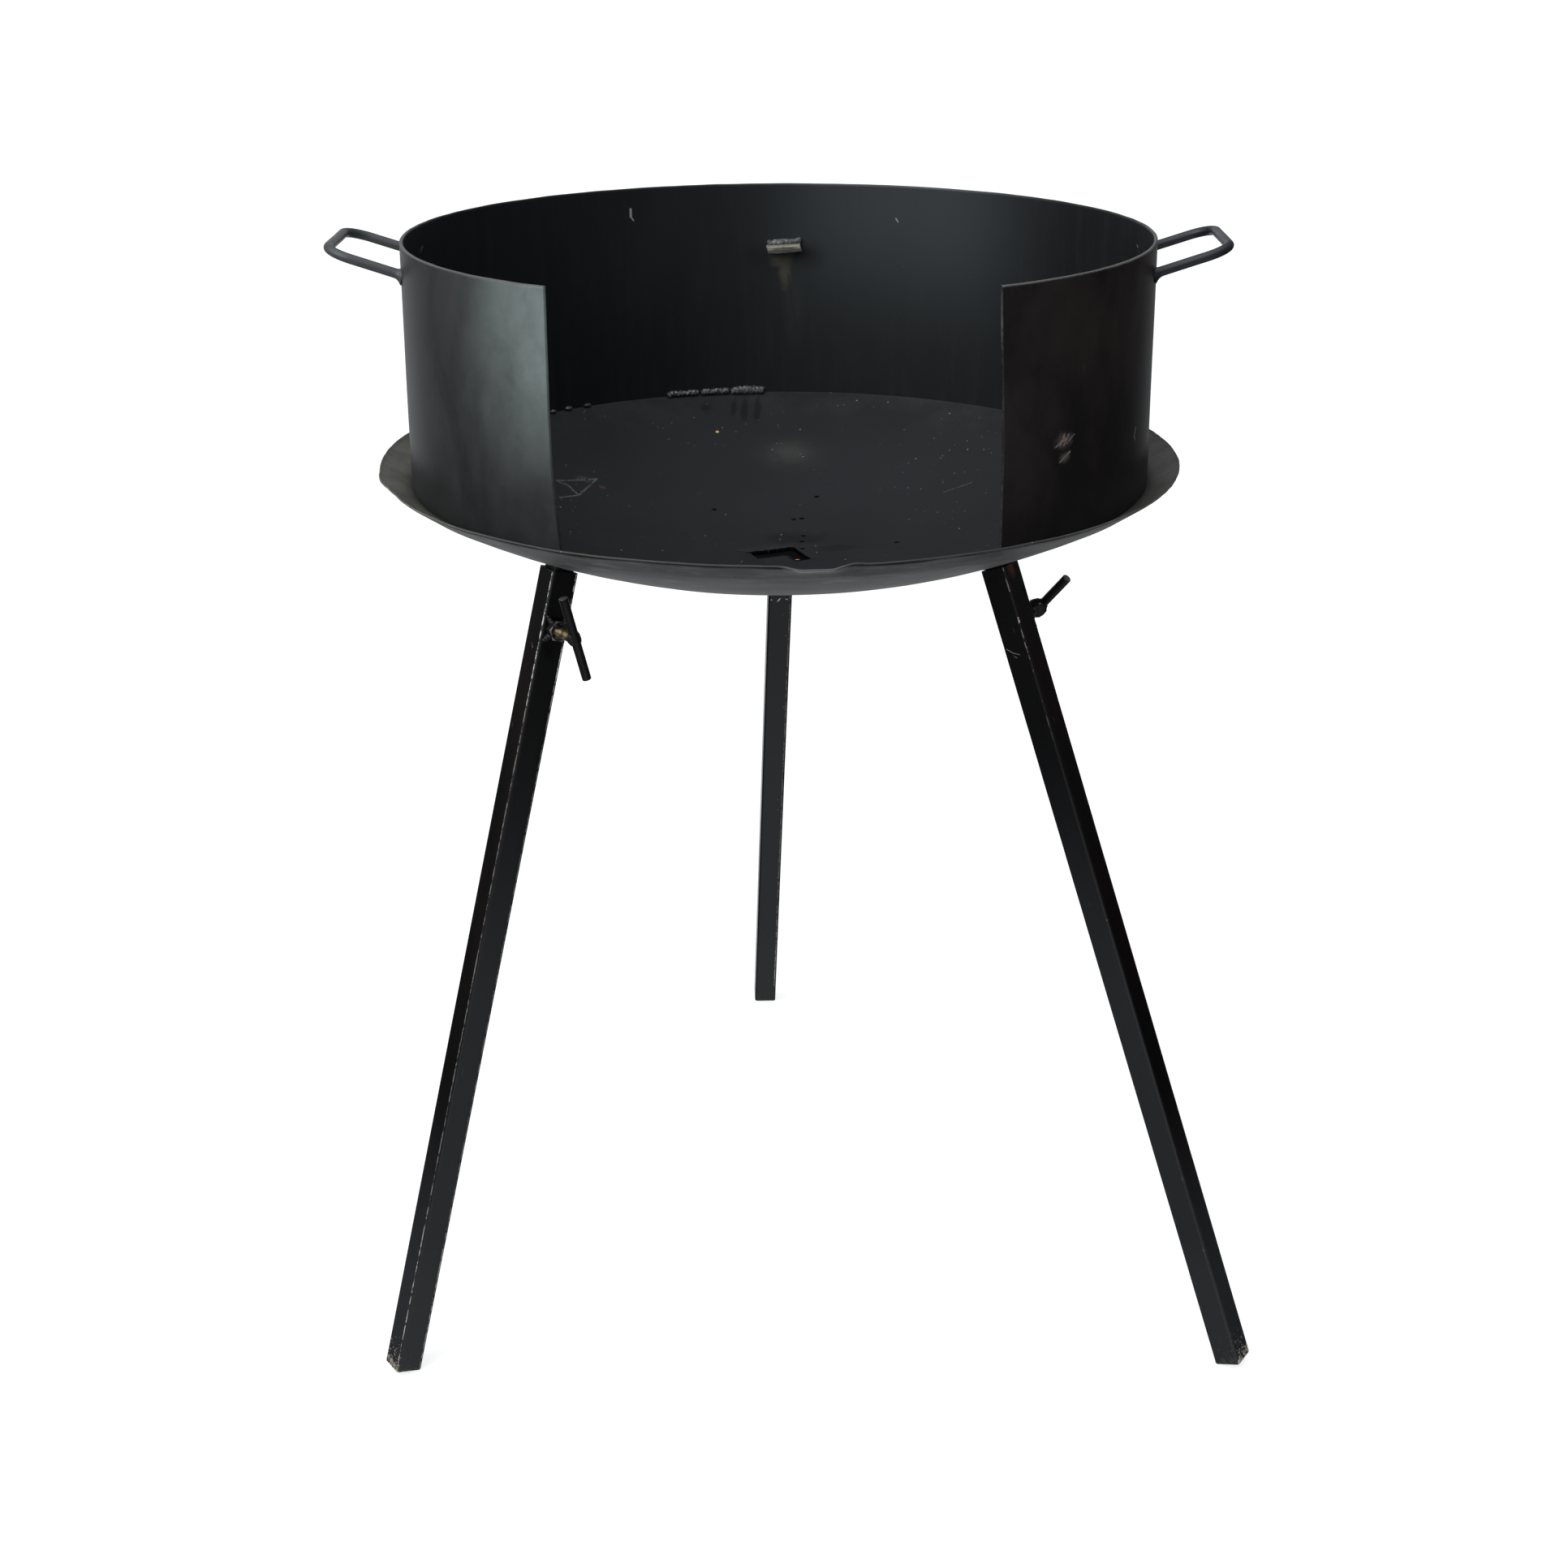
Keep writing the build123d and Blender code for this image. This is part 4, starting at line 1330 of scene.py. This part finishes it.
def build_screw(side, zinc):
    """The screw, with a real helical thread."""
    run = BAR_HEIGHT - COLLAR_HEIGHT - SCREW_TIP
    rows = round(run / THREAD_PITCH * THREAD_ROWS_PER_PITCH)
    points = []
    for i in range(rows + 1):
        z = SCREW_TIP + run * i / rows
        taper = THREAD_TAPER * smooth(SCREW_TIP + 1.2, SCREW_TIP, z)
        for k in range(THREAD_AROUND):
            phase = (z / THREAD_PITCH - k / THREAD_AROUND) % 1.0
            crest = min(1.0, max(0.0, 1.25 - abs(phase - 0.5) * 3.2))
            radius = SCREW_RADIUS - THREAD_CLEARANCE - THREAD_DEPTH * (1 - crest) - taper
            points.append(ring(math.tau * k / THREAD_AROUND, radius) + UP * z)
    piece(
        f"screw_{side}", (points, capped_faces(rows + 1, THREAD_AROUND)), f"{side}_screw", zinc,
        f"clamp_screw_{side}", clamp_axes(side), sharp=80,
    )


def build_bar(side, paint, weld):
    """The cross bar: sawn rod, with the weld that holds it on the screw."""
    axes = clamp_axes(side)
    way = ring(math.radians(BAR_TURN[side]))
    half = BAR_LENGTH / 2
    start, run = BAR_INSET - half, BAR_LENGTH - 2 * BAR_INSET
    # Stations along the bar, each with the rod's radius.
    ends = [(place - half, radius) for place, radius in BAR_ENDS]
    stations = ends + [(start + run * i / BAR_STEPS, BAR_RADIUS) for i in range(BAR_STEPS + 1)]
    stations += [(-x, radius) for x, radius in ends[::-1]]
    wear = []
    for x, _ in stations:
        worn = 1.0 if abs(x) > half - 0.5 else 0.3 * smooth(half - 4, half - 0.6, abs(x))
        wear += [worn] * BAR_AROUND

    def radius_at(i, angle):
        x, radius = stations[i]
        around = ring(angle, 6)
        return radius + 0.10 * ripple((x, around.x, around.y), 9, 90)

    path = [UP * BAR_HEIGHT + way * x for x, _ in stations]
    piece(
        f"cross_bar_{side}", tube(path, UP, radius_at, BAR_AROUND), f"{side}_bar", paint,
        f"clamp_bar_{side}", axes, wear, sharp=40,
    )
    across = UP.cross(way)
    grow = BAR_WELD[side]
    long, wide, high = BAR_WELD_SIZES
    sizes = (long * grow, wide * grow, high * grow**2)
    centre = UP * (BAR_HEIGHT + 0.8 - sizes[2])
    drops = [blob(centre, (way, across, UP), sizes, 95, lumps=0.10 * grow)]
    for number, sign in enumerate((1, -1)):
        centre = UP * (BAR_HEIGHT - 0.6) + across * (3.3 * sign)
        drops.append(blob(centre, (way, across, UP), BAR_FILLET_SIZES, 97 + number))
    piece(f"bar_weld_{side}", merge(drops), f"{side}_bar", weld, axes=axes)


def finish_node(name, material):
    """Gives a CAD node that stays as it is its material."""
    materials = frame["nodes"][name].data.materials
    materials.clear()
    materials.append(material)


# --- Build ----------------------------------------------------------------------------

# Each leg's shine is the strength of its painted glints, brightest on the left leg.
tube_black = {
    "rear": tube_paint("rear", (0.004, 0.004, 0.0045), -0.714, 0.72, 0.7, 0.3, REAR_MARKS),
    "left": tube_paint("left", (0.0050, 0.0024, 0.0018), -0.708, 0.86, 1.0, 1.0, LEFT_MARKS),
    "right": tube_paint(
        "right", (0.0046, 0.0006, 0.0006), -0.723, 0.56, 0.3, 1.0, RIGHT_MARKS, rust=0.9
    ),
}
# Painted light: the left handle's colours are lighter and the right's darker, as lit and shaded
# copies.
rod_lit_shaded = {
    "left": rod_paint_lit_shaded("left", (0.030, 0.033, 0.034), (0.054, 0.059, 0.060)),
    "right": rod_paint_lit_shaded("right", (0.0075, 0.0075, 0.0105), (0.0150, 0.0150, 0.0200)),
}
grey_weld = weld_metal("weld_grey", (0.040, 0.042, 0.043), (0.29, 0.295, 0.29))
black_weld = weld_metal("weld_black", (0.0035, 0.0035, 0.0038), (0.016, 0.016, 0.0165), 0.15)
sawn_steel = lug_steel()
nut_black = nut_paint()
overspray = {"rear": 0.46, "left": 0.46, "right": 0.62}

build_pan(pan_inside(), pan_outside())
finish_node("hub_plate", plate_steel())
build_plate_weld(black_weld)
build_shell(shell_inside(), shell_outside())
build_foot_weld(grey_weld)
for side in SIDES:
    build_lug(side, sawn_steel, grey_weld)
for side in HANDLE_AZIMUTHS:
    build_handle(side, rod_lit_shaded[side])
for side in SIDES:
    build_leg(side, tube_black[side])
    finish_node(f"leg_stub_{side}", nut_black)
    build_stub_weld(side, black_weld)
    build_nut(side, nut_black, black_weld)
    build_screw(side, zinc_yellow(side, overspray[side]))
    build_bar(side, nut_black, black_weld)

# --- Floor, light and camera ----------------------------------------------------------

# Metres from here on, apart from the camera's place. Angles are still in degrees.
FLOOR_RADIUS = 80.0
FLOOR_SIDES = 64
CAMERA_PLACE = Vector((89.4, -1936.1, 1278.7)) * MM
CAMERA_PITCH = 22.49
CAMERA_YAW = -2.562
CAMERA_ROLL = -0.236
LENS = 50.28
SENSOR = 36
KEY_PLACE = Vector((-2.0, -1.7, 2.3))
KEY_AIM = Vector((0, 0, 0.85))
KEY_SIZE = (2.2, 1.6)
KEY_POWER = 27
GLOW_COLOUR = (0.93, 0.97, 1.0, 1)

# The sky brightens towards FRONT_WAY, from where the cosine of the angle to it is FRONT_START.
# FRONT_LIGHT has its lowest and highest strength. HORIZON has a low and a high height, and the
# share of that strength at each.
FRONT_WAY = polar(1, 222, 0.25)
FRONT_START = 0.3
FRONT_LIGHT = (0.14, 1.3)
HORIZON = (-0.12, 0.34, 0.05, 1.0)
# More soft patches: direction, cosine of the angle at which each begins, and strength.
PATCHES = (
    (polar(1, 101, -0.28), 0.64, 0.85),
    (Vector((0.25, -0.6, -0.8)), 0.60, 0.42),
    (Vector((-0.1, -0.15, 1.0)), 0.45, 1.35),
)


def add_object(name, data):
    """An object of the scene that isn't part of the fire pit."""
    made = bpy.data.objects.new(name, data)
    bpy.context.scene.collection.objects.link(made)
    return made


def build_floor():
    """A plain pale floor. It glows a little, so that it stays pale under soft light."""
    mesh = bpy.data.meshes.new("floor")
    points = [polar(FLOOR_RADIUS, 360 * i / FLOOR_SIDES) for i in range(FLOOR_SIDES)]
    mesh.from_pydata(points, [], [tuple(range(FLOOR_SIDES))])
    material = bpy.data.materials.new("floor_white")
    material.use_nodes = True
    shader = material.node_tree.nodes["Principled BSDF"]
    for name, value in (
        ("Base Color", shade(0.35)), ("Roughness", 1.0), ("Specular IOR Level", 0.0),
        ("Emission Color", shade(1.0)), ("Emission Strength", 0.80),
    ):
        shader.inputs[name].default_value = value
    mesh.materials.append(material)
    floor = add_object("floor", mesh)
    floor.visible_glossy = False


def build_light():
    """Soft light all round, strongest from the front left, and one large soft lamp there."""
    world = bpy.data.worlds.new("studio")
    bpy.context.scene.world = world
    world.use_nodes = True
    w = Nodes(world.node_tree)
    place = w.add("ShaderNodeTexCoord").outputs["Generated"]
    height = w.add("ShaderNodeSeparateXYZ", Vector=place).outputs["Z"]

    def facing(way, start, low, high):
        """low to high as a direction comes to face the way."""
        return w.step(w.dot(place, way.normalized()), start, 1.0, low, high)

    total = w.times(facing(FRONT_WAY, FRONT_START, *FRONT_LIGHT), w.step(height, *HORIZON))
    for way, start, strength in PATCHES:
        total = w.plus(total, facing(way, start, 0.0, strength))
    glow = w.add("ShaderNodeBackground", Color=GLOW_COLOUR, Strength=total)
    plain = w.add("ShaderNodeBackground", Color=shade(1.0))
    both = w.add("ShaderNodeMixShader")
    seen = w.add("ShaderNodeLightPath").outputs["Is Camera Ray"]
    for socket, value in zip(both.inputs, (seen, glow.outputs[0], plain.outputs[0])):
        w.put(socket, value)
    w.add("ShaderNodeOutputWorld", Surface=both.outputs[0])

    lamp = bpy.data.lights.new("key", "AREA")
    lamp.shape = "RECTANGLE"
    lamp.size, lamp.size_y = KEY_SIZE
    lamp.energy = KEY_POWER
    key = add_object("key", lamp)
    key.location = KEY_PLACE
    key.rotation_mode = "QUATERNION"
    key.rotation_quaternion = (KEY_PLACE - KEY_AIM).to_track_quat("Z", "Y")


def build_camera():
    """The camera at the photograph's viewing angle."""
    pitch, yaw, roll = (math.radians(a) for a in (CAMERA_PITCH, CAMERA_YAW, CAMERA_ROLL))
    right = Vector((math.cos(yaw), -math.sin(yaw), 0))
    ahead = UP.cross(right) * math.cos(pitch) - UP * math.sin(pitch)
    up = right.cross(ahead)
    rolled_right = right * math.cos(roll) + up * math.sin(roll)
    rolled_up = up * math.cos(roll) - right * math.sin(roll)
    data = bpy.data.cameras.new("camera")
    data.lens = LENS
    data.sensor_width = SENSOR
    camera = add_object("camera", data)
    camera.matrix_world = placed(CAMERA_PLACE, rolled_right, rolled_up, -ahead)
    bpy.context.scene.camera = camera


build_floor()
build_light()
build_camera()
bpy.context.scene.view_settings.view_transform = "Standard"
